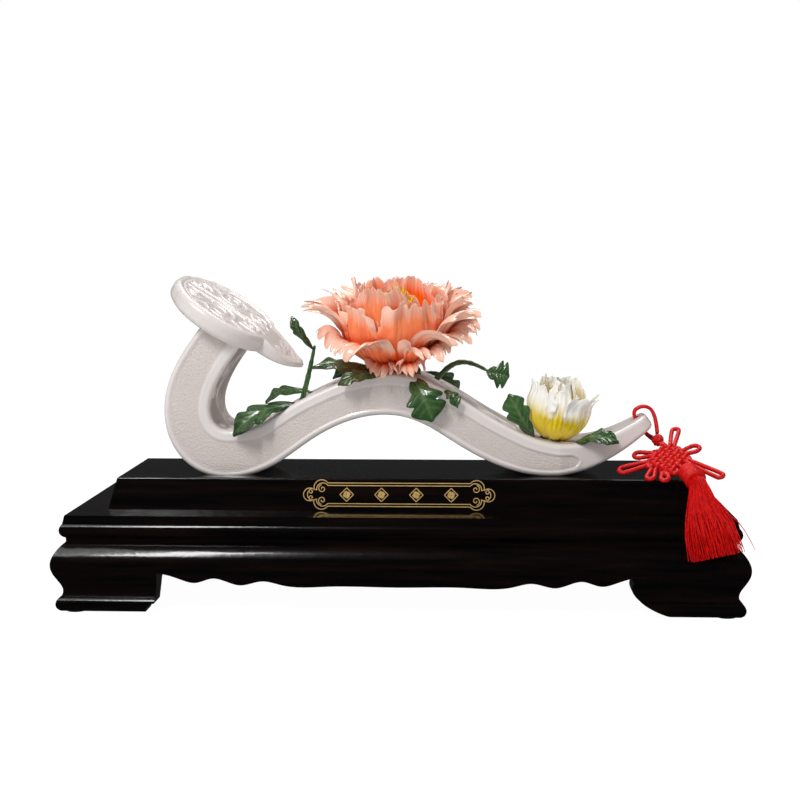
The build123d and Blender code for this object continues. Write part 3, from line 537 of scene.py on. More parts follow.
def makeShaft():
    # rounded rectangle carried along the centre line; the side panels sink, a running vine rises on the top
    line = smoothLine(shaft["stations"], np.linspace(0, 1, shaft["rows"]))
    way = unit(np.gradient(line[:, :2], axis=0))
    line[0, :2] -= way[0] * shaft["intoHead"]
    run = runAlong(line[:, :2])[:, None]
    length = run[-1, 0]
    left = length - run
    x = line[:, :1]
    tailLength = line[-1, 0] + shaft["tailPastTip"] - shaft["tailStart"]
    taper = np.clip((x - shaft["tailStart"]) / tailLength, 0, 1)
    wide = shaft["halfWidth"] + (shaft["tailHalf"] - shaft["halfWidth"]) * taper
    wide = wide - drawnIn(left, shaft["tailRound"])
    thick = line[:, 2:] / 2 - shaft["tipShare"] * drawnIn(left, shaft["tipRound"])
    bevel = np.minimum(shaft["edgeRound"], shaft["edgeShare"] * np.minimum(wide, thick))
    flat = np.linspace(-1, 1, shaft["topColumns"] + 2)[1:-1]
    under = np.linspace(1, -1, shaft["underColumns"] + 2)[1:-1]
    tall = np.linspace(1, -1, shaft["sideColumns"] + 2)[1:-1]
    quarter = np.linspace(0, np.pi / 2, shaft["edgeColumns"])
    sine, cosine, one = np.sin(quarter), np.cos(quarter), np.ones(shaft["edgeColumns"])
    parts = [      # centre across, centre up, offset across, offset up
        (flat, flat * 0 + 1, flat * 0, flat * 0 + 1), (one, one, sine, cosine),
        (tall * 0 + 1, tall, tall * 0 + 1, tall * 0), (one, -one, cosine, -sine),
        (under, under * 0 - 1, under * 0, under * 0 - 1), (-one, -one, -sine, -cosine),
        (tall * 0 - 1, -tall, tall * 0 - 1, tall * 0), (-one, one, -cosine, sine),
    ]
    # the ring starts in the middle of one upper edge, so that each end zips shut between the upper edges
    columns = (np.roll(np.concatenate(column), shaft["edgeColumns"] // 2)[None] for column in zip(*parts))
    midAcross, midUp, outAcross, outUp = columns
    onSide, onTop = np.abs(outAcross) == 1, outUp == 1
    across = midAcross * (wide - bevel)
    up = midUp * (thick - bevel)
    ends = np.minimum(run - shaft["panelFrom"], shaft["panelTo"] - run)
    inset = np.minimum(thick - up - shaft["upperBorder"], thick + up - shaft["lowerBorder"])
    corner = shaft["panelRound"]
    inset = corner - np.hypot(np.maximum(corner - inset, 0), np.maximum(corner - ends, 0))
    panel = ease(0, shaft["panelSlope"], inset) * onSide
    bead = np.exp(-((inset + shaft["beadOut"]) / shaft["beadHalf"]) ** 2) * onSide
    bead = bead * ease(*shaft["beadFade"], ends)
    wave = shaft["vineWave"]
    track = np.arange(shaft["vineFrom"], length - shaft["vineEnd"], 1.0)
    lines = [np.stack([track, shaft["vineSwing"] * np.sin(2 * np.pi * track / wave)], -1)]
    tendrilsAt = np.arange(shaft["vineFrom"] + wave / 4, length - shaft["tendrilEnd"], wave / 2)
    for number, at in enumerate(tendrilsAt):
        lines += [curl(*tendril) * (1, (-1) ** number) + (at, 0) for tendril in shaft["tendrils"]]
    places = np.stack(np.broadcast_arrays(run, across[:, onTop[0]]), -1)
    vine = np.zeros(across.shape)
    vine[:, onTop[0]] = ridges(places, lines, shaft["vineHalf"])
    vine = vine * ease(*shaft["vineFadeIn"], run) * ease(*shaft["vineFadeOut"], left)
    rim = np.exp(-((wide - np.abs(across) - shaft["rimInset"]) / shaft["rimHalf"]) ** 2) * onTop
    rim = rim * ease(*shaft["rimFadeOut"], left)
    lift = shaft["vineHeight"] * vine + shaft["rimHeight"] * rim
    lift = lift - shaft["panelDepth"] * panel + shaft["beadHeight"] * bead
    across = across + outAcross * (bevel + lift)
    up = up + outUp * (bevel + lift)
    normal = leftOf(way)
    height = seat + line[:, 1:2] + normal[:, 1:] * up
    rings = np.stack(np.broadcast_arrays(x + normal[:, :1] * up, across, height), -1)
    # painted shade: darker in the sunk panels and round the vine on the top, less on the bead
    hollow = np.clip(0.55 * panel - 0.3 * bead + onTop * (0.25 - 0.6 * vine), 0, 1)      # share of shade
    stipple = panel * ease(*shaft["stippleFade"], inset)
    shape = Shape().add(rings[:, ::-1], hollow=hollow[:, ::-1], stipple=stipple[:, ::-1])
    tip, out, upward = tailEnd(line)
    bar = tip - out * shaft["holeFromTip"] + np.linspace(-1, 1, 4)[:, None] * shaft["holeReach"] * upward
    hole = Shape().add(sweep(bar, shaft["holeRadius"], 40, (0, 1, 0))[0])
    shape.piece("shaftBand", porcelain, "scepter", "white_porcelain", "scepter_shaft", 70, hole)


makeShaft()
print("shaft made")


# Head of the scepter

head = {
    "x": -108.2, "rise": 89.6, "slope": 32, "lean": 9, "thickness": 11.5,
    "arcs": [      # along and across, round one half from the rear to the tip
        ((-47, 0), (-46, 11), (-40, 22)), ((-40, 22), (-6, 39), (22, 17)), ((22, 17), (41, 12.2), (50, 0)),
    ],
    "middle": 0.02, "rimHeight": 4, "rimShare": 0.07, "waist": [6.5, 5], "underShare": 0.08,
    "curls": [      # along and across, start angle, sense, radius, turns, points
        ((-12, 17), -2.2, 1, 13, 1.9, 140), ((10, 10), 2.6, -1, 7.5, 1.6, 90),
        ((-33, 10), 0.4, 1, 7.5, 1.5, 90), ((33, 4.5), 2.4, -1, 4.5, 1.3, 60),
    ],
    "pairSpan": (-40, 16), "pairGap": 3, "pairSwing": 1.6, "pairTurn": 7,
    "rays": 7, "rayFan": (-0.5, 2.4),
    "rayRoots": ((-10, 10), (15, 13)), "rayTips": ((-8, 6), (27, 25)),      # two ellipses: middle, half axes
    "border": 0.86, "sunk": 1, "fieldEdge": (0.87, 0.93), "carveHeight": 0.8, "carveHalf": 1.15,
    "tongueThin": 0.62, "thinSpan": (12, 50), "tongueLift": 1.5, "liftSpan": (30, 50),
    "scallops": 22, "scallopDepth": 0.012, "scallopFrom": 4,
}


def carvedLines(outline):
    # curls, a wavy pair along the middle and a fan of rays, on both halves, within a border
    lines = [curl(*values) for values in head["curls"]]
    wavy = head["pairGap"] + head["pairSwing"] * np.sin(np.linspace(0, head["pairTurn"], 60))
    lines.append(np.stack([np.linspace(*head["pairSpan"], 60), wavy], -1))
    for turn in np.linspace(*head["rayFan"], head["rays"]):
        ends = np.array([head["rayRoots"], head["rayTips"]])
        root, tip = ends[:, 0] + ends[:, 1] * (np.cos(turn), np.sin(turn))
        lines.append(root + np.linspace(0, 1, 24)[:, None] * (tip - root))
    return [line * (1, side) for side in (1, -1) for line in lines] + [head["border"] * outline]


def makeHead():
    # polar grid from the middle of the top, over the rounded rim, to the middle of the underside
    half = np.concatenate([arcThrough(*arc, 45)[:-1] for arc in head["arcs"]])
    outline = np.concatenate([half, [head["arcs"][-1][2]], half[:0:-1] * (1, -1)])
    share = np.concatenate([np.linspace(head["middle"], 0.9, 70), np.linspace(0.915, 0.94, 3)])
    turn = np.linspace(0.15, 1, 9) * np.pi / 2
    rimShare = 1 - head["rimShare"] * (1 - np.sin(turn))
    rimHeight = head["thickness"] - head["rimHeight"] * (1 - np.cos(turn))
    turn = np.linspace(0, 1, 8) * np.pi / 2
    underShare = 1 - head["underShare"] * (1 - np.cos(turn))
    underHeight = head["rimHeight"] * (1 - np.sin(turn))
    below = np.linspace(0.88, head["middle"], 14)
    shares = np.concatenate([share, rimShare, [1, 1], underShare, below])
    onTop = np.full(share.shape, head["thickness"])
    heights = np.concatenate([onTop, rimHeight, head["waist"], underHeight, below * 0])
    flat = outline[None] * shares[:, None, None]
    count = len(share)
    carved = np.zeros(flat.shape[:2])
    carved[:count] = ridges(flat[:count], carvedLines(outline), head["carveHalf"])
    field = np.zeros(flat.shape[:2])
    field[:count] = 1 - ease(*head["fieldEdge"], share)[:, None]
    lift = field * (head["carveHeight"] * carved - head["sunk"])
    tongue = head["tongueLift"] * ease(*head["liftSpan"], flat[..., 0]) ** 2
    thin = 1 - head["tongueThin"] * ease(*head["thinSpan"], flat[..., 0])
    height = (heights[:, None] + lift) * thin + tongue
    scallop = np.sin(head["scallops"] * np.arctan2(outline[:, 1], outline[:, 0]))
    scallop = head["scallopDepth"] * scallop * (outline[:, 1] > head["scallopFrom"])
    flat = flat * (1 + scallop[None] * ease(0.7, 1, shares)[:, None])[..., None]
    slope, lean = np.radians(head["slope"]), np.radians(head["lean"])
    along = np.array([np.cos(slope), 0, -np.sin(slope)])
    rise = np.array([np.sin(slope) * np.cos(lean), -np.sin(lean), np.cos(slope) * np.cos(lean)])
    middle = np.array([head["x"], 0, seat + head["rise"]])
    rings = middle + flat[..., :1] * along + flat[..., 1:] * np.cross(rise, along) + height[..., None] * rise
    # painted shade in the head's sunk field, lifted off the carved lines
    shape = Shape().add(rings, hollow=np.clip(field * (0.4 - 0.6 * carved), 0, 1), stipple=0.25 * field)
    shape.piece("cloudHead", porcelain, "scepter", "white_porcelain", "scepter_head", 75)


makeHead()
print("head made")


# Flowers

peony = {
    "x": -3, "y": 0, "leanRight": 0, "leanFront": 14, "ruffle": 3.2, "thickness": 1.2,
    "outerRoot": (9, 5), "middleRoot": (7, 5), "innerRoot": (5, 6.5),
    # azimuth, rise at the root, rise at the lip, length, width, cup, turn of the lip, where it starts, tear
    "outer": [
        (356, 14, 72, 58, 50, 10, -90, 0.6, 0.15), (334, 16, 64, 55, 58, 9, -130, 0.54, 0.17),
        (303, 8, 58, 50, 32, 6, -135, 0.58, 0.17), (283, 46, 2, 36, 24, 4, -45, 0.55, 0.2),
        (258, 46, 2, 35, 24, 4, -45, 0.55, 0.2), (230, 10, 60, 56, 50, 7, -145, 0.58, 0.17),
        (184, 30, 58, 69, 38, 8, -80, 0.62, 0.24), (145, 32, 72, 60, 44, 8, -80, 0.62, 0.16),
        (105, 34, 74, 60, 46, 8, -80, 0.62, 0.16), (64, 34, 74, 60, 46, 8, -80, 0.62, 0.16),
        (24, 32, 72, 60, 44, 8, -80, 0.62, 0.16),
    ],
    "middle": [
        (290, 8, 98, 66, 40, 11, -50, 0.8, 0.12), (250, 30, 97, 69, 36, 11, -50, 0.8, 0.12),
        (215, 4, 98, 62, 36, 11, -45, 0.8, 0.12), (326, 14, 96, 60, 34, 10, -50, 0.8, 0.12),
        (176, 0, 94, 60, 48, 12, -40, 0.8, 0.12), (125, 32, 90, 58, 38, 10, -16, 0.75, 0.12),
        (70, 32, 90, 58, 38, 10, -14, 0.75, 0.1), (14, 20, 92, 58, 36, 9, -20, 0.75, 0.12),
    ],
    "inner": [
        (262, 48, 104, 35, 25, 7, -10, 0.75, 0.1), (315, 48, 104, 35, 25, 7, -10, 0.75, 0.1),
        (205, 48, 104, 42, 25, 7, -10, 0.75, 0.08), (142, 54, 100, 46, 28, 8, -10, 0.75, 0.08),
        (82, 54, 100, 47, 28, 8, -10, 0.75, 0.08), (25, 52, 102, 43, 28, 8, -10, 0.75, 0.08),
    ],
}
bud = {
    "x": 97, "y": -6, "leanRight": 8, "leanFront": 8, "ruffle": 1.2, "thickness": 1,
    "outerRoot": (6.5, 1.5), "innerRoot": (4, 3),
    "outer": [
        (262, 28, 112, 41, 31, 9, -50, 0.8, 0.14), (205, 24, 106, 45, 32, 9, -50, 0.78, 0.15),
        (130, 38, 108, 42, 27, 7, -30, 0.78, 0.1), (60, 38, 108, 42, 27, 7, -30, 0.78, 0.1),
        (325, 24, 92, 40, 31, 8, -70, 0.7, 0.16),
    ],
    "inner": [
        (295, 60, 112, 38, 20, 6, -20, 0.78, 0.1), (170, 60, 112, 40, 20, 6, -20, 0.78, 0.1),
        (50, 60, 112, 40, 20, 6, -20, 0.78, 0.1),
    ],
}
petal = {
    "rows": 40, "columns": 80, "tornFrom": 0.13, "fingerWide": 9, "ribWide": 7,
    "notchTorn": 0.8, "notchCupped": 0.3, "ribTorn": 0.34, "ribCupped": 0.12,
    "tipRound": 0.13, "waveShare": 0.55, "sideSway": 0.05, "thinLip": 0.72, "thinSides": 0.6,
    # share of the way to the tip, then the width's and the cup's share there
    "widthAt": ([0, 0.15, 0.35, 0.6, 0.8, 1], [0.3, 0.55, 0.82, 1, 0.98, 0.74]),
    "cupAt": ([0, 0.35, 0.7, 1], [0.25, 0.8, 1, 0.6]),
}


def topOfShaft(x):      # height of the upper side there
    line = smoothLine(shaft["stations"], np.linspace(0.4, 1, 900))
    way = unit(np.gradient(line[:, :2], axis=0))
    upper = line[:, :2] + leftOf(way) * line[:, 2:] / 2
    return seat + np.interp(x, upper[:, 0], upper[:, 1])


def flowerFrame(flower):      # origin, and the frame's three axes as rows
    right, front = (np.sin(np.radians(flower[key])) for key in ("leanRight", "leanFront"))
    axis = unit([right, -front, 1])
    right = unit(np.array([1, 0, 0]) - axis * axis[0])
    origin = np.array([flower["x"], flower["y"], topOfShaft(flower["x"])])
    return origin, np.array([right, np.cross(axis, right), axis])


def addPetal(shape, flower, root, azimuth, riseStart, riseEnd, length, width, cup, lip, lipFrom, tear):
    # mid-rib turns evenly from root to tip, the lip turns further; across it the petal is a ruffled hollow
    rows, half = petal["rows"], petal["columns"]
    u = np.linspace(-1, 1, half)[None]
    v = np.linspace(0, 1, rows)[:, None]
    torn = tear > petal["tornFrom"]      # lips are torn into fingers, the cupped petals only wave
    notchDepth, ribHeight = (petal[key + ("Torn" if torn else "Cupped")] for key in ("notch", "rib"))
    wavy = 0.5 + 0.5 * waves(u, (0.7, 1.3, 2.2), 0.8)
    fingers = width / petal["fingerWide"] * u + 0.3 * waves(u, (0.8, 1.7)) + chance.random()
    notch = (1 - np.abs(np.sin(np.pi * fingers)) ** 0.6) * ease(0.02, 0.3, 1.05 - np.abs(u))
    tearing = tear * (petal["waveShare"] * wavy + notchDepth * notch)
    s = v * (1 - petal["tipRound"] * np.abs(u) ** 3 - tearing)
    table = np.linspace(0, 1, 200)
    rise = riseStart + (riseEnd - riseStart) * np.minimum(table / lipFrom, 1)
    rise = np.radians(rise + lip * np.maximum(table - lipFrom, 0) / (1 - lipFrom))
    step = length / (len(table) - 1)
    reach = root[0] + step * np.concatenate([[0], np.cumsum(np.cos(rise[1:]))])
    height = root[1] + step * np.concatenate([[0], np.cumsum(np.sin(rise[1:]))])
    reach, height, rise = (np.interp(s, table, values) for values in (reach, height, rise))
    aside = width / 2 * np.interp(s, *petal["widthAt"]) * u
    aside = aside * (1 + petal["sideSway"] * waves(v * (1 + 0.2 * u), (2.2, 3.7)) * v)
    swell = flower["ruffle"] * v**3 * waves(u + 0.15 * v, (1.3, 2.2)) * (0.4 + 0.6 * np.abs(u))
    ribs = np.sin(2 * np.pi * (width / petal["ribWide"] * u + chance.random()))
    swell = swell + ribHeight * ribs * ease(0.15, 0.5, v) * (1 - 0.3 * v)
    depth = cup * np.interp(s, *petal["cupAt"]) * u**2 + swell
    thick = flower["thickness"] * (1 - petal["thinLip"] * ease(0.3, 1, v))
    thick = thick * (1 - petal["thinSides"] * np.abs(u) ** 6)
    turn = np.radians(azimuth)
    origin, axes = flowerFrame(flower)
    outward = np.cos(turn) * axes[0] + np.sin(turn) * axes[1]
    sideways = -np.sin(turn) * axes[0] + np.cos(turn) * axes[1]
    normal = np.cos(rise)[..., None] * axes[2] - np.sin(rise)[..., None] * outward
    rib = origin + reach[..., None] * outward + height[..., None] * axes[2] + aside[..., None] * sideways
    inner = rib + (depth + thick / 2)[..., None] * normal
    outer = rib + (depth - thick / 2)[..., None] * normal
    rings = np.concatenate([inner, outer[:, ::-1]], 1)
    across = np.concatenate([(u + 1) / 2, (1 - u) / 2, [[0.0]]], 1).repeat(rows, 0)
    uv = np.stack([across, v.repeat(2 * half + 1, 1)], -1)
    shape.add(rings, uv, inside=np.repeat([1, 0], half), lip=float(torn))


for flower, kind, finish, whorls in (
    (peony, "peony", coral, ("outer", "middle", "inner")), (bud, "bud", cream, ("outer", "inner")),
):
    for whorl in whorls:
        shape = Shape()
        for row in flower[whorl]:
            addPetal(shape, flower, flower[whorl + "Root"], *row)
        shape.piece(kind + whorl.title(), finish, "scepter", kind + "_glaze", f"{kind}_petals_{whorl}", 80)

stamens = {
    "count": 44, "step": 2.4, "ring": 5, "start": 8, "length": 44.5, "lean": 9,
    "thread": 0.45, "anther": 1.15, "antherAt": 0.93, "antherHalf": 0.06,
}


def makeStamens():
    # threads that lean out from the middle, each with a swollen tip
    origin, axes = flowerFrame(peony)
    shape = Shape()
    t = np.linspace(0, 1, 16)
    swollen = stamens["anther"] - stamens["thread"]
    swollen = swollen * np.exp(-((t - stamens["antherAt"]) / stamens["antherHalf"]) ** 2)
    radius = (stamens["thread"] + swollen) * np.where(t > 0.99, 0.4, 1)
    bow = stamens["length"] * np.sin(np.radians(stamens["lean"])) * t**2
    for number in range(stamens["count"]):
        turn = stamens["step"] * number
        spread = ((number + 0.5) / stamens["count"]) ** 0.5
        out = spread * (stamens["ring"] * (0.4 + 0.6 * t) + bow)
        up = stamens["start"] + stamens["length"] * t * (1 - 0.12 * spread**2 + 0.06 * chance.normal())
        path = origin + np.stack([out * np.cos(turn), out * np.sin(turn), up], -1) @ axes
        shape.add(*sweep(path, radius, 8, axes[0] + 0.3 * axes[1]))
    shape.piece("peonyStamens", stamenGlaze, "scepter", "stamen_glaze", "peony_stamens")


makeStamens()
print("flowers made")


# Leaves and twigs

foliage = {
    "rows": 56, "columns": 22, "thickness": 1.2, "thinSides": 0.6, "lobes": 3, "lobeDepth": 0.38,
    "lobeShift": 0.3, "upturn": 0.1, "wave": 0.6, "groove": 0.7, "grooveHalf": 0.09,
    "ribs": 6.2, "ribDepth": 0.22, "ribHalf": 0.16, "ribSlant": 0.16,
    # share of the way to the tip, then the width's share there
    "outline": ([0, 0.12, 0.4, 0.7, 0.9, 1], [0.1, 0.32, 0.86, 0.92, 0.58, 0.1]),
    "leaves": {      # root, tip, way the upper face looks, width, bend, share of olive
        "leaf_left_low": ((-66, -20, 43.5), (-104, -33.5, 24.5), (-0.25, -0.65, 0.75), 23, 36, 0),
        "leaf_left_high": ((-57, 0, 48), (-88, -3, 42), (-0.2, -0.35, 0.9), 17, 40, 0),
        "leaf_left_upright": ((-55.2, -12, 77.5), (-69.5, -12, 98.5), (-0.5, -0.8, 0.2), 9, 25, 0.1),
        "leaf_under_left": ((-13, -14, 61), (-56, -15, 66), (0, -0.4, 0.9), 18, 20, 0.35),
        "leaf_under_front": ((-12, -26, 61.5), (-38, -36, 57), (0, -0.75, 0.65), 12, 40, 0.6),
        "leaf_front": ((8, -24, 60.5), (20.5, -35.5, 34.5), (0.1, -0.95, 0.3), 28, 50, 0),
        "leaf_front_small": ((27, -24.5, 52), (36, -35, 43), (0.3, -0.8, 0.5), 10, 55, 0),
        "leaf_right": ((54, -7, 63), (68.5, -8, 60), (0.1, -0.97, 0.2), 21, 15, 0),
        "leaf_bud_left": ((84, -15, 22.3), (68, -16, 50), (-0.35, -0.9, 0.2), 19, 20, 0),
        "leaf_bud_right": ((109.5, -20.5, 18.6), (136, -28.5, 20.5), (0.15, -0.55, 0.85), 18, 40, 0),
        "leaf_back_left": ((-14, 23, 59.5), (-48, 33, 55), (0, 0.55, 0.8), 18, 40, 0.2),
        "leaf_back_right": ((12, 24, 59.5), (34, 35, 40), (0.1, 0.8, 0.5), 22, 55, 0),
    },
}


def makeLeaf(name, root, tip, faceWay, width, bend, autumn):
    # arc from root to tip, lobed to both sides, with a groove down the middle and veins to the lobes
    v = np.linspace(0, 1, foliage["rows"])[:, None]
    u = np.linspace(-1, 1, foliage["columns"])[None]
    chord = np.subtract(tip, root)
    length = np.linalg.norm(chord)
    along = chord / length
    face = unit(np.array(faceWay) - along * np.dot(faceWay, along))
    aside = np.cross(face, along)
    arch = length / 2 * np.tan(np.radians(bend / 2)) * 4 * v * (1 - v)
    lobes = np.abs(np.sin(foliage["lobes"] * np.pi * np.clip(v * 1.04, 0, 1) ** 0.9))
    outline = np.interp(v, *foliage["outline"]) * (1 - foliage["lobeDepth"] * (1 - lobes))
    upturn = 0.5 + 0.06 * waves(v, (1.5, 2.5))
    lift = arch + width * foliage["upturn"] * np.abs(u) * outline * upturn
    lift = lift + foliage["wave"] * waves(v + 0.3 * u, (1.6, 2.7)) * np.abs(u)
    vein = np.exp(-(u / foliage["grooveHalf"]) ** 2)
    place = (v - foliage["ribSlant"] * np.abs(u)) * foliage["ribs"] % 1
    ribs = np.exp(-((place - 0.5) / foliage["ribHalf"]) ** 2)
    ribs = ribs * (np.abs(u) < 0.85) * ease(0.02, 0.2, 1 - v)
    lift = lift - foliage["groove"] * vein - foliage["ribDepth"] * ribs
    shift = foliage["lobeShift"] * length * np.abs(u) * outline * ease(0, 0.3, v)      # lobes point onwards
    spine = np.array(root) + (0, 0, seat) + (v * length + shift * (1 - v))[..., None] * along
    spine = spine + (width / 2 * outline * u)[..., None] * aside
    thick = foliage["thickness"] * (1 - foliage["thinSides"] * np.abs(u) ** 4)
    upper = spine + (lift + thick)[..., None] * face
    lower = spine + lift[..., None] * face
    veins = np.clip(vein + 0.6 * ribs, 0, 1)
    shape = Shape().add(np.concatenate([upper, lower[:, ::-1]], 1),
                        vein=np.concatenate([veins, 0 * veins], 1), autumn=autumn * (1 - 0.6 * v))
    shape.piece("spray_" + name, leafGlaze, "scepter", "leaf_glaze", name, 75)


for name, values in foliage["leaves"].items():
    makeLeaf(name, *values)

twigs = {
    "radius": 1.6, "rows": 40,
    "routes": {
        "twig_left": [(-64, -12, 42), (-58.5, -12.2, 63), (-54.8, -12, 80)],
        "twig_right": [(20, 9, 55), (32, 4, 66.5), (56, -7, 63)],
    },
}
for name, route in twigs["routes"].items():      # a stem along a smooth line, thinner to its end
    t = np.linspace(0, 1, twigs["rows"])
    bark = twigs["radius"] * (1 + 0.08 * waves(t, (5, 9))) * (1.1 - 0.6 * t**3)
    path = smoothLine(np.array(route) + (0, 0, seat), t)
    shape = Shape().add(*sweep(path, bark, 14, (0, 1, 0)))
    shape.piece(name.replace("_", "Branch_"), twigGlaze, "scepter", "twig_glaze", name)
print("leaves and twigs made")


# Knot and tassel

knot = {
    "button": (162.4, -8.7, 20), "along": (0.324, -0.875, -0.36), "face": (-0.191, -0.433, 0.881),
    "centre": (22.5, -4), "turn": -18, "halfLong": 16.5, "halfWide": 13.5, "reach": 1.02, "strands": 6,
    "cord": 1.42, "rise": 1.4, "lay": 0.10, "turns": 0.16, "earCord": 0.92, "earDroop": 0.6,
    "ears": {      # root and tip, along and across, and half the loop's width
        "knot_ear_up": ((12, 3.8), (-4, 14.5), 2.2), "knot_ear_right_high": ((21, 6), (22.5, 17.5), 3.2),
        "knot_ear_right_low": ((27.5, 4), (57.5, 15), 2.2), "knot_ear_left_high": ((12, -10), (7.5, -20), 3),
        "knot_ear_left_low": ((19.5, -14.5), (17.5, -34.5), 3),
        "knot_ear_small_left": ((26.5, -15.5), (35.5, -22.5), 2.2),
        "knot_ear_small_right": ((33.5, -12), (42, -15), 2.2),
    },
}
knotX = unit(knot["along"])
knotZ = unit(np.array(knot["face"]) - knotX * np.dot(knot["face"], knotX))
knotAxes = np.array([knotX, np.cross(knotZ, knotX), knotZ])
buttonAt = np.array(knot["button"]) + (0, 0, seat)


def onKnot(along, across, lift=0.0):      # a place on the knot's plane, in the frame
    return buttonAt + np.stack(np.broadcast_arrays(along, across, lift), -1) @ knotAxes


def twisted(path, radius, sides=12, up=knotZ):      # a circle carried along a path, with the cord's twist
    return sweep(path, radius, sides, up, knot["lay"], knot["turns"])


def makeWeave():
    # hairpins of cord in two slanting directions, each passing over and under the other set
    count, reach = knot["strands"], knot["reach"]
    turn = np.radians(knot["turn"])
    run = np.linspace(-reach, reach, 70)
    bendTo = np.linspace(-np.pi / 2, np.pi / 2, 12)[1:-1]
    shape = Shape()
    for way in (0, 1):
        for pair in range(count // 2):
            rank = np.array([2 * pair, 2 * pair + 1])
            beside = -1 + (2 * rank + 1) / count
            gap = (beside[1] - beside[0]) / 2
            side = -1 if pair % 2 else 1
            a = side * np.concatenate([run, reach + gap * np.cos(bendTo), run[::-1]])
            turning = beside.mean() + gap * np.sin(bendTo)
            b = np.concatenate([run * 0 + beside[0], turning, run * 0 + beside[1]])
            index = np.repeat(rank, [len(run) + len(bendTo), len(run)])
            wave = np.cos(np.pi * (count * (a + 1) / 2 - 0.5)) * np.cos(np.pi * index) * (1 - 2 * way)
            wave = wave * ease(0, 0.12, 1.06 - np.abs(a))
            first, second = (a, b) if way == 0 else (b, a)
            long = (first + second) / 2 * knot["halfLong"]
            wide = (first - second) / 2 * knot["halfWide"]
            along = knot["centre"][0] + long * np.cos(turn) - wide * np.sin(turn)
            across = knot["centre"][1] + long * np.sin(turn) + wide * np.cos(turn)
            shape.add(*twisted(onKnot(along, across, knot["rise"] * wave), knot["cord"]))
    shape.piece("wovenKnot", cordRed, "tassel", "red_cord", "square_knot")


def makeEar(name, root, tip, halfGap):
    # a loop of cord: two runs that swell apart and a round turn at the tip
    root, tip = np.array(root), np.array(tip)
    way = unit(tip - root)
    length = np.linalg.norm(tip - root) - halfGap
    t = np.linspace(0, 1, 26)
    bend = np.linspace(-1.5, 1.5, 17)
    out = np.concatenate([t * length, length + halfGap * np.cos(bend), t[::-1] * length])
    swell = halfGap * (0.62 + 0.38 * np.sin(t * np.pi / 2) ** 2)
    aside = np.concatenate([-swell, halfGap * np.sin(bend), swell[::-1]])
    flat = root + out[:, None] * way + aside[:, None] * leftOf(way)
    droop = knot["earDroop"] * np.sin(np.linspace(0, np.pi, len(out)))
    path = onKnot(flat[:, 0], flat[:, 1], droop)
    shape = Shape().add(*twisted(path, knot["cord"] * knot["earCord"]))
    shape.piece("loop_" + name, cordRed, "tassel", "red_cord", name)


button = {
    "radius": 3.75, "cord": 0.82, "sunk": 0.85, "tilts": (0.15, 1.2, 2.25), "shifts": (-0.55, 0, 0.55),
    "tailCord": 0.95, "tailAside": 0.9, "tailLength": 10,
}


def makeButton():
    # a ball knot: three crossing bands of three cords, each a tilted circle that swells in three places
    shape = Shape()
    angle = np.linspace(0, 2 * np.pi, 60)
    size = button["radius"] - button["sunk"]
    for tilt in button["tilts"]:
        upright = np.array([[1, 0, 0], [0, np.cos(tilt), np.sin(tilt)], [0, -np.sin(tilt), np.cos(tilt)]])
        for shift in button["shifts"]:
            ring = np.sqrt(1 - shift**2) * size
            circle = np.stack([ring * np.cos(angle), ring * np.sin(angle), 0 * angle + shift * size], -1)
            swell = 1 + 0.10 * np.cos(3 * angle + 3 * tilt)[:, None]
            path = buttonAt + (circle @ upright * swell) @ knotAxes
            shape.add(*twisted(path, button["cord"], 10, -upright[2] @ knotAxes))
    for aside in (button["tailAside"], -button["tailAside"]):
        reach = np.linspace(0, button["tailLength"], 20)
        shape.add(*twisted(onKnot(reach, 0.06 * reach + aside, 0.2), button["tailCord"]))
    shape.piece("buttonBall", cordRed, "tassel", "red_cord", "button_knot")


cap = {
    "start": 39, "end": 52, "across": -0.5, "lift": 2, "radius": 6.2, "domeShare": 0.42, "columns": 48,
    "groove": 0.22, "capTurns": 11, "bindingTurns": 4, "bindingWide": 2.6, "bindingOut": 0.25,
    "bindingRound": 0.9,
}


def addTurned(name, node, profile, start, end, turns):
    # a profile turned round the tassel's axis, wound with floss
    share = np.linspace(0, 1, len(profile))
    angle = np.linspace(0, 2 * np.pi, cap["columns"], endpoint=False)[None]
    along = (start + (end - start) * share)[:, None]
    rings = onKnot(along, cap["across"] + profile[:, None] * np.cos(angle),
                   cap["lift"] + profile[:, None] * np.sin(angle))
    uv = np.stack(np.meshgrid(np.linspace(0, 1, cap["columns"] + 1), share * turns), -1)
    Shape().add(rings, uv).piece(name, flossRed, "tassel", "red_cord", node)


def makeCap():
    # rounded dome wound with floss, then a band of tighter turns
    share = np.linspace(0, 1, 90)
    rounding = 1 - (1 - np.clip(share / cap["domeShare"], 0, 1)) ** 2
    dome = cap["radius"] * np.sqrt(np.clip(rounding, 0.004, 1))
    dome = dome - cap["groove"] * (1 - np.abs(np.sin(np.pi * cap["capTurns"] * share)))
    addTurned("tasselDome", "tassel_cap", dome, cap["start"], cap["end"], 8)
    share = np.linspace(0, 1, 50)
    band = cap["radius"] + cap["bindingOut"]
    band = band + cap["groove"] * np.abs(np.sin(np.pi * cap["bindingTurns"] * share))
    band = band - cap["bindingRound"] * (2 * np.abs(share - 0.5)) ** 8
    addTurned("tasselBand", "tassel_binding", band, cap["end"], cap["end"] + cap["bindingWide"], 3)


fringe = {
    "line": [
        (179.6, -59.8, 0.6), (181.3, -67.3, -8.3), (183.2, -74.2, -17.8),
        (186, -79.4, -28.3), (188.5, -82, -39.3),
    ],
    "widths": [10, 11, 16, 22, 28, 32], "thickness": 8.2, "turn": 0.15, "rows": 16, "strands": 460,
    "radius": 0.36, "stray": 0.13, "strayFar": 2.2, "farShare": 0.05, "uneven": 0.24,
}


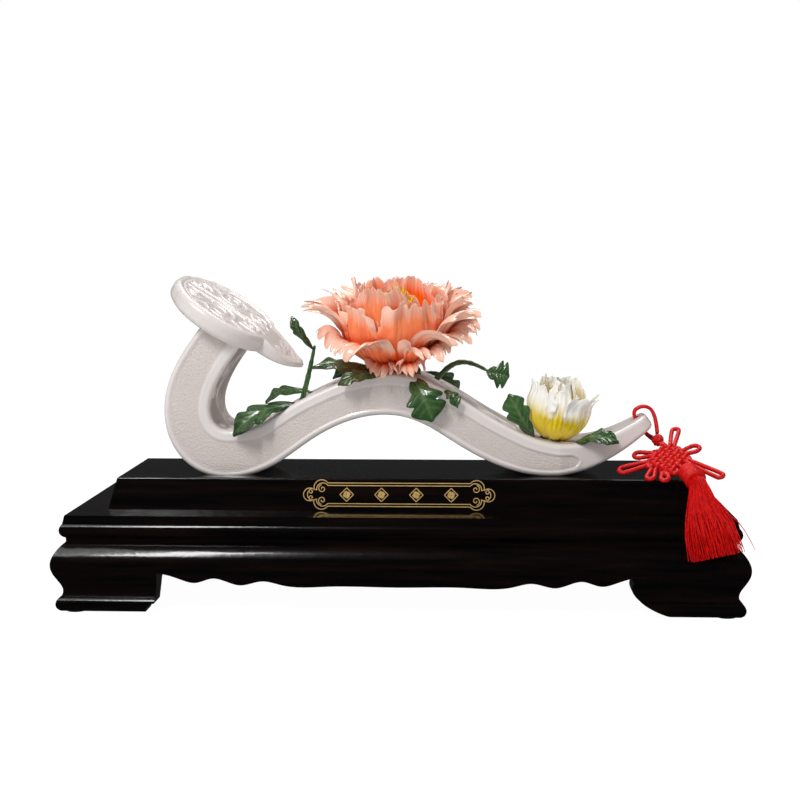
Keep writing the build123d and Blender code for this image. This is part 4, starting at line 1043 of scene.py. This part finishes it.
def makeFringe():
    # fine threads from the band, fanning out along the lie; a few stray from it
    rows, count = fringe["rows"], fringe["strands"]
    t = np.linspace(0, 1, rows)
    start = onKnot(cap["end"] + 1, cap["across"], cap["lift"])
    path = smoothLine(np.concatenate([[start], np.array(fringe["line"]) + (0, 0, seat)]), t)
    width = np.interp(t, np.linspace(0, 1, len(fringe["widths"])), fringe["widths"])
    tangent = unit(np.gradient(path, axis=0))
    beside = np.array([1, 0, fringe["turn"]])
    side = unit(beside - tangent * (tangent @ beside)[:, None])
    normal = np.cross(tangent, side)
    angle = chance.random(count) * 2 * np.pi
    spread = chance.random(count) ** 0.5
    far = chance.random(count) > 1 - fringe["farShare"]
    wander = fringe["stray"] * (1 + fringe["strayFar"] * far)[:, None]
    swing = 1.4 * t[None] * chance.random((count, 1)) + chance.random((count, 1))
    sway = wander * t[None] * np.sin(2 * np.pi * swing)
    across = ((spread * np.cos(angle))[:, None] + sway) * width[None] / 2
    deep = ((spread * np.sin(angle))[:, None] + 0.6 * sway) * fringe["thickness"] / 2
    deep = deep * np.interp(t, [0, 0.3, 1], [1.1, 0.95, 0.7])[None]
    middle = path[None] + across[..., None] * side[None] + deep[..., None] * normal[None]
    ends = 1 - fringe["uneven"] * chance.random((count, 1, 1)) ** 2
    middle = middle[:, :1] + (middle - middle[:, :1]) * ends
    ring = np.linspace(0, 2 * np.pi, 4, endpoint=False)[:, None] + 0.4
    around = np.cos(ring) * side[:, None] + np.sin(ring) * normal[:, None]
    size = fringe["radius"] * np.interp(t, [0, 0.8, 1], [1, 0.9, 0.5])[:, None, None]
    uv = np.zeros((count, rows, len(ring) + 1, 2))
    uv[..., 0] = chance.random((count, 1, 1)) * 20
    uv[..., 1] = t[None, :, None] * 3
    shape = Shape().add(middle[:, :, None] + (size * around)[None], uv)
    shape.piece("tasselFringe", flossRed, "tassel", "red_cord", "tassel_fringe")


def splinePoints(route):      # the route's own smooth line, read from a curve without thickness
    curve = bpy.data.curves.new("routeLine", "CURVE")
    curve.dimensions = "3D"
    curve.resolution_u = 10
    spline = curve.splines.new("NURBS")
    spline.points.add(len(route) - 1)
    spline.points.foreach_set("co", np.concatenate([route, np.ones((len(route), 1))], 1).ravel())
    spline.order_u = 3
    spline.use_endpoint_u = True
    holder = bpy.data.objects.new("routeLine", curve)
    mesh = bpy.data.meshes.new_from_object(holder)
    points = np.zeros(len(mesh.vertices) * 3)
    mesh.vertices.foreach_get("co", points)
    bpy.data.objects.remove(holder)
    bpy.data.meshes.remove(mesh)
    bpy.data.curves.remove(curve)
    return points.reshape(-1, 3)


hang = {
    "radius": 1.1, "drawn": 0.97, "lay": 0.05, "pairGap": 0.6, "endGap": 0.9,
    "overTip": 2.2, "aboveTail": 4.2,
    "core": [(4, 0.6, 0), (14, -1.5, 0.4), (24, -3.2, 0.2), (34, -1.5, 1), (40.5, -0.5, 1.8)],
}


def layCord(name, node, body, route, radius, up):
    # a twisted circle carried along the route's smooth line
    path = splinePoints(route)
    shape = Shape().add(*sweep(path, radius, 14, up, hang["lay"], knot["turns"]))
    piece = shape.piece(name, cordRed, body, "red_cord", node)


def makeHangCords():
    # two cords side by side from the button over the tail's tip, down through its hole and back to the button
    tip, out, up = tailEnd(smoothLine(shaft["stations"], np.linspace(0.9, 1, 400)))
    back = np.array([0, 1, 0])
    tipThick, tailThick = shaft["stations"][-1][2], shaft["stations"][-2][2]
    hole = tip - out * shaft["holeFromTip"]
    pastTip = shaft["holeFromTip"] + tipThick / 2 + hang["overTip"]
    clear = tailThick / 2 + hang["aboveTail"]
    overTip = hole + out * pastTip + up
    underHole = hole - up * clear
    reach = button["radius"] + hang["endGap"]
    rising = unit(overTip - buttonAt)
    risingSide = unit(back - rising * rising[1])
    returning = unit(underHole - buttonAt)
    for name, side in (("hang_cord_front", -1), ("hang_cord_back", 1)):
        aside = side * (2 * hang["radius"] + hang["pairGap"]) / 2
        route = np.array([
            buttonAt + rising * reach + risingSide * aside,
            overTip + back * aside,
            hole + out * (pastTip - hang["aboveTail"]) + up * clear + back * aside,
            hole + up * clear + back * aside,
            underHole + back * aside - up * aside,
            buttonAt + returning * reach - up * aside,
        ])
        radius = hang["radius"] * hang["drawn"]
        layCord(name.replace("_", "Line_", 1), name, "scepter", route, radius, (0.2, 1, 0.1))


makeWeave()
makeButton()
makeCap()
makeFringe()
for name, values in knot["ears"].items():
    makeEar(name, *values)
makeHangCords()
# the core runs from the button through the knot to the tassel's dome
layCord("coreCord", "tassel_neck", "tassel", onKnot(*zip(*hang["core"])), hang["radius"], knotZ)
print("knot and tassel made")


# Gilt ornament on the plinth

gilt = {
    "ledge": 29, "slope": 5, "boardHeight": 19.5, "line": 0.26, "depth": 0.32,
    "railHalf": 44, "rise": 7.2, "gap": 1.6, "lozenge": 4.2, "pitch": 21.5, "lozenges": 4, "heart": 2.2,
    # at the right end: arcs by three points and curls above the middle, then arcs across the middle
    "bends": [((0, 7.2), (6.6, 8.2), (8.4, 3)), ((0, 5.6), (5.4, 6.4), (6.8, 2.6))],
    "curls": [((3.4, 3.6), 1.4, -1, 2.6, 1.3, 40), ((10.2, 1.9), 2.6, -1, 1.9, 1.2, 36)],
    "noses": [((8.4, 3), (15, 0), (8.4, -3)), ((6.8, 2.6), (12.6, 0), (6.8, -2.6))],
}


def makeGilt():
    # flat lines on the sloping face: double rails, cloud scrolls at the ends, lozenges between
    out = unit([0, -gilt["boardHeight"], gilt["slope"]])
    right = np.array([1, 0, 0])
    up = np.cross(out, right)
    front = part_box("skirt_front")[0][1] / millimetre + gilt["ledge"] + gilt["slope"] / 2
    middle = np.array([0, front, plinthTop - gilt["boardHeight"] / 2])
    lift = np.array([0, 0, gilt["depth"], gilt["depth"]])[None, :, None]
    shape = Shape()

    def draw(line):      # a flat bar along a line of the face
        beside = leftOf(unit(np.gradient(line, axis=0))) * gilt["line"]
        flat = np.stack([line - beside, line + beside, line + beside, line - beside], 1)
        shape.add(middle + flat[..., :1] * right + flat[..., 1:] * up + lift * out)

    along = np.linspace(-gilt["railHalf"], gilt["railHalf"], 12)
    for rise in (gilt["rise"], gilt["rise"] - gilt["gap"]):
        for side in (-1, 1):
            draw(np.stack([along, 0 * along + side * rise], -1))
    upper = [arcThrough(*bend, 24) for bend in gilt["bends"]] + [curl(*values) for values in gilt["curls"]]
    scroll = [line * (1, half) for half in (-1, 1) for line in upper]
    scroll += [arcThrough(*nose, 30) for nose in gilt["noses"]]
    for side in (-1, 1):
        for line in scroll:
            draw((line + (gilt["railHalf"], 0)) * (side, 1))
    corner = gilt["lozenge"] * np.array([(1, 0), (0, 1), (-1, 0), (0, -1)])
    for number in range(gilt["lozenges"]):
        at = ((number - (gilt["lozenges"] - 1) / 2) * gilt["pitch"], 0)
        for k in range(4):
            draw(at + np.linspace(0, 1, 8)[:, None] * (corner[(k + 1) % 4] - corner[k]) + corner[k])
            draw(at + curl((0, 0), k * np.pi / 2, 1, gilt["heart"], 0.8, 30))
    shape.piece("giltFrame", gold, "stand", "gilding", "gilt_ornament")


makeGilt()
print("gilding made")


# Camera, light and floor

view = {
    "at": (45.6, -896.7, 218.2), "yaw": 3, "pitch": 6.02, "roll": -0.17,
    "focal": 1403.9, "frame": 800, "sensor": 36,      # focal length and frame in picture points
}
lamps = {      # place and aim in metres, size, power in watts
    "keyLamp": ((-0.9, -1, 1.5), (0, 0, 0.1), (0.9, 0.9), 9.5),
    "stripLamp": ((-0.45, -1, 1.25), (0, 0, 0.15), (0.14, 0.5), 10),
    "fillLamp": ((1.1, -1, 1.4), (0, 0, 0.1), (0.8, 0.8), 2),
    "topLamp": ((0.1, 0.6, 1.4), (0, 0, 0.1), (1.2, 0.5), 12),
}
stage = {
    "floorSize": 8, "floorGrey": 0.86, "floorSeen": 0.86, "floorGlow": 1.14, "floorMirrored": 0.03,
    "sky": 0.33, "skySeen": 1, "skyMirrored": 0.04,
}


def putUp(name, data, right, up, back, at):      # an object that looks against back
    holder = bpy.data.objects.new(name, data)
    spin = np.eye(4)
    spin[:3] = np.stack([right, up, back, at], -1)
    holder.matrix_world = Matrix(spin.tolist())
    bpy.context.collection.objects.link(holder)
    return holder


def makeCamera():
    # turned by yaw, then pitch, then roll; the lens follows from the focal length in picture points
    yaw, pitch, roll = (np.radians(view[key]) for key in ("yaw", "pitch", "roll"))
    forward = np.array([-np.sin(yaw) * np.cos(pitch), np.cos(yaw) * np.cos(pitch), -np.sin(pitch)])
    level = unit(np.cross(forward, (0, 0, 1)))
    upright = np.cross(level, forward)
    right = level * np.cos(roll) + upright * np.sin(roll)
    up = upright * np.cos(roll) - level * np.sin(roll)
    camera = bpy.data.cameras.new("photoCamera")
    camera.sensor_width = view["sensor"]
    camera.sensor_fit = "HORIZONTAL"
    camera.lens = view["sensor"] * view["focal"] / view["frame"]
    camera.clip_end = 50
    at = np.array(view["at"]) * millimetre
    bpy.context.scene.camera = putUp("photoCamera", camera, right, up, -forward, at)


def makeLamp(name, at, aim, size, power):      # a rectangle of light that looks at its aim
    lamp = bpy.data.lights.new(name, "AREA")
    lamp.shape = "RECTANGLE"
    lamp.size, lamp.size_y = size
    lamp.energy = power
    back = unit(np.subtract(at, aim))
    side = unit(np.cross((0, 0.01, 1), back))
    putUp(name, lamp, side, np.cross(back, side), back, at)


def makeStage():
    # pale floor and sky that the camera sees as white, while they light the object at a plain level
    bpy.ops.mesh.primitive_plane_add(size=stage["floorSize"], location=(0, 0, 0))
    floor = bpy.context.object
    floor.name = "paleFloor"
    paper = Finish("floorPaper", Roughness=0.9, Base_Color=(*[stage["floorGrey"]] * 3, 1))
    paper.showWhite(paper.shader, "Emission", stage["floorSeen"], stage["floorGlow"], stage["floorMirrored"],
                    "Material Output")
    floor.data.materials.append(paper.material)
    world = bpy.data.worlds.new("studio")
    world.use_nodes = True
    bpy.context.scene.world = world
    sky = Nodes(world.node_tree)
    plain = sky.tree.nodes["Background"]
    plain.inputs["Color"].default_value = white
    plain.inputs["Strength"].default_value = stage["sky"]
    sky.showWhite(plain, "Background", stage["skySeen"], 1, stage["skyMirrored"], "World Output")


makeCamera()
makeStage()
for name, values in lamps.items():
    makeLamp(name, *values)
bpy.context.scene.view_settings.view_transform = "Standard"
print("scene ready")
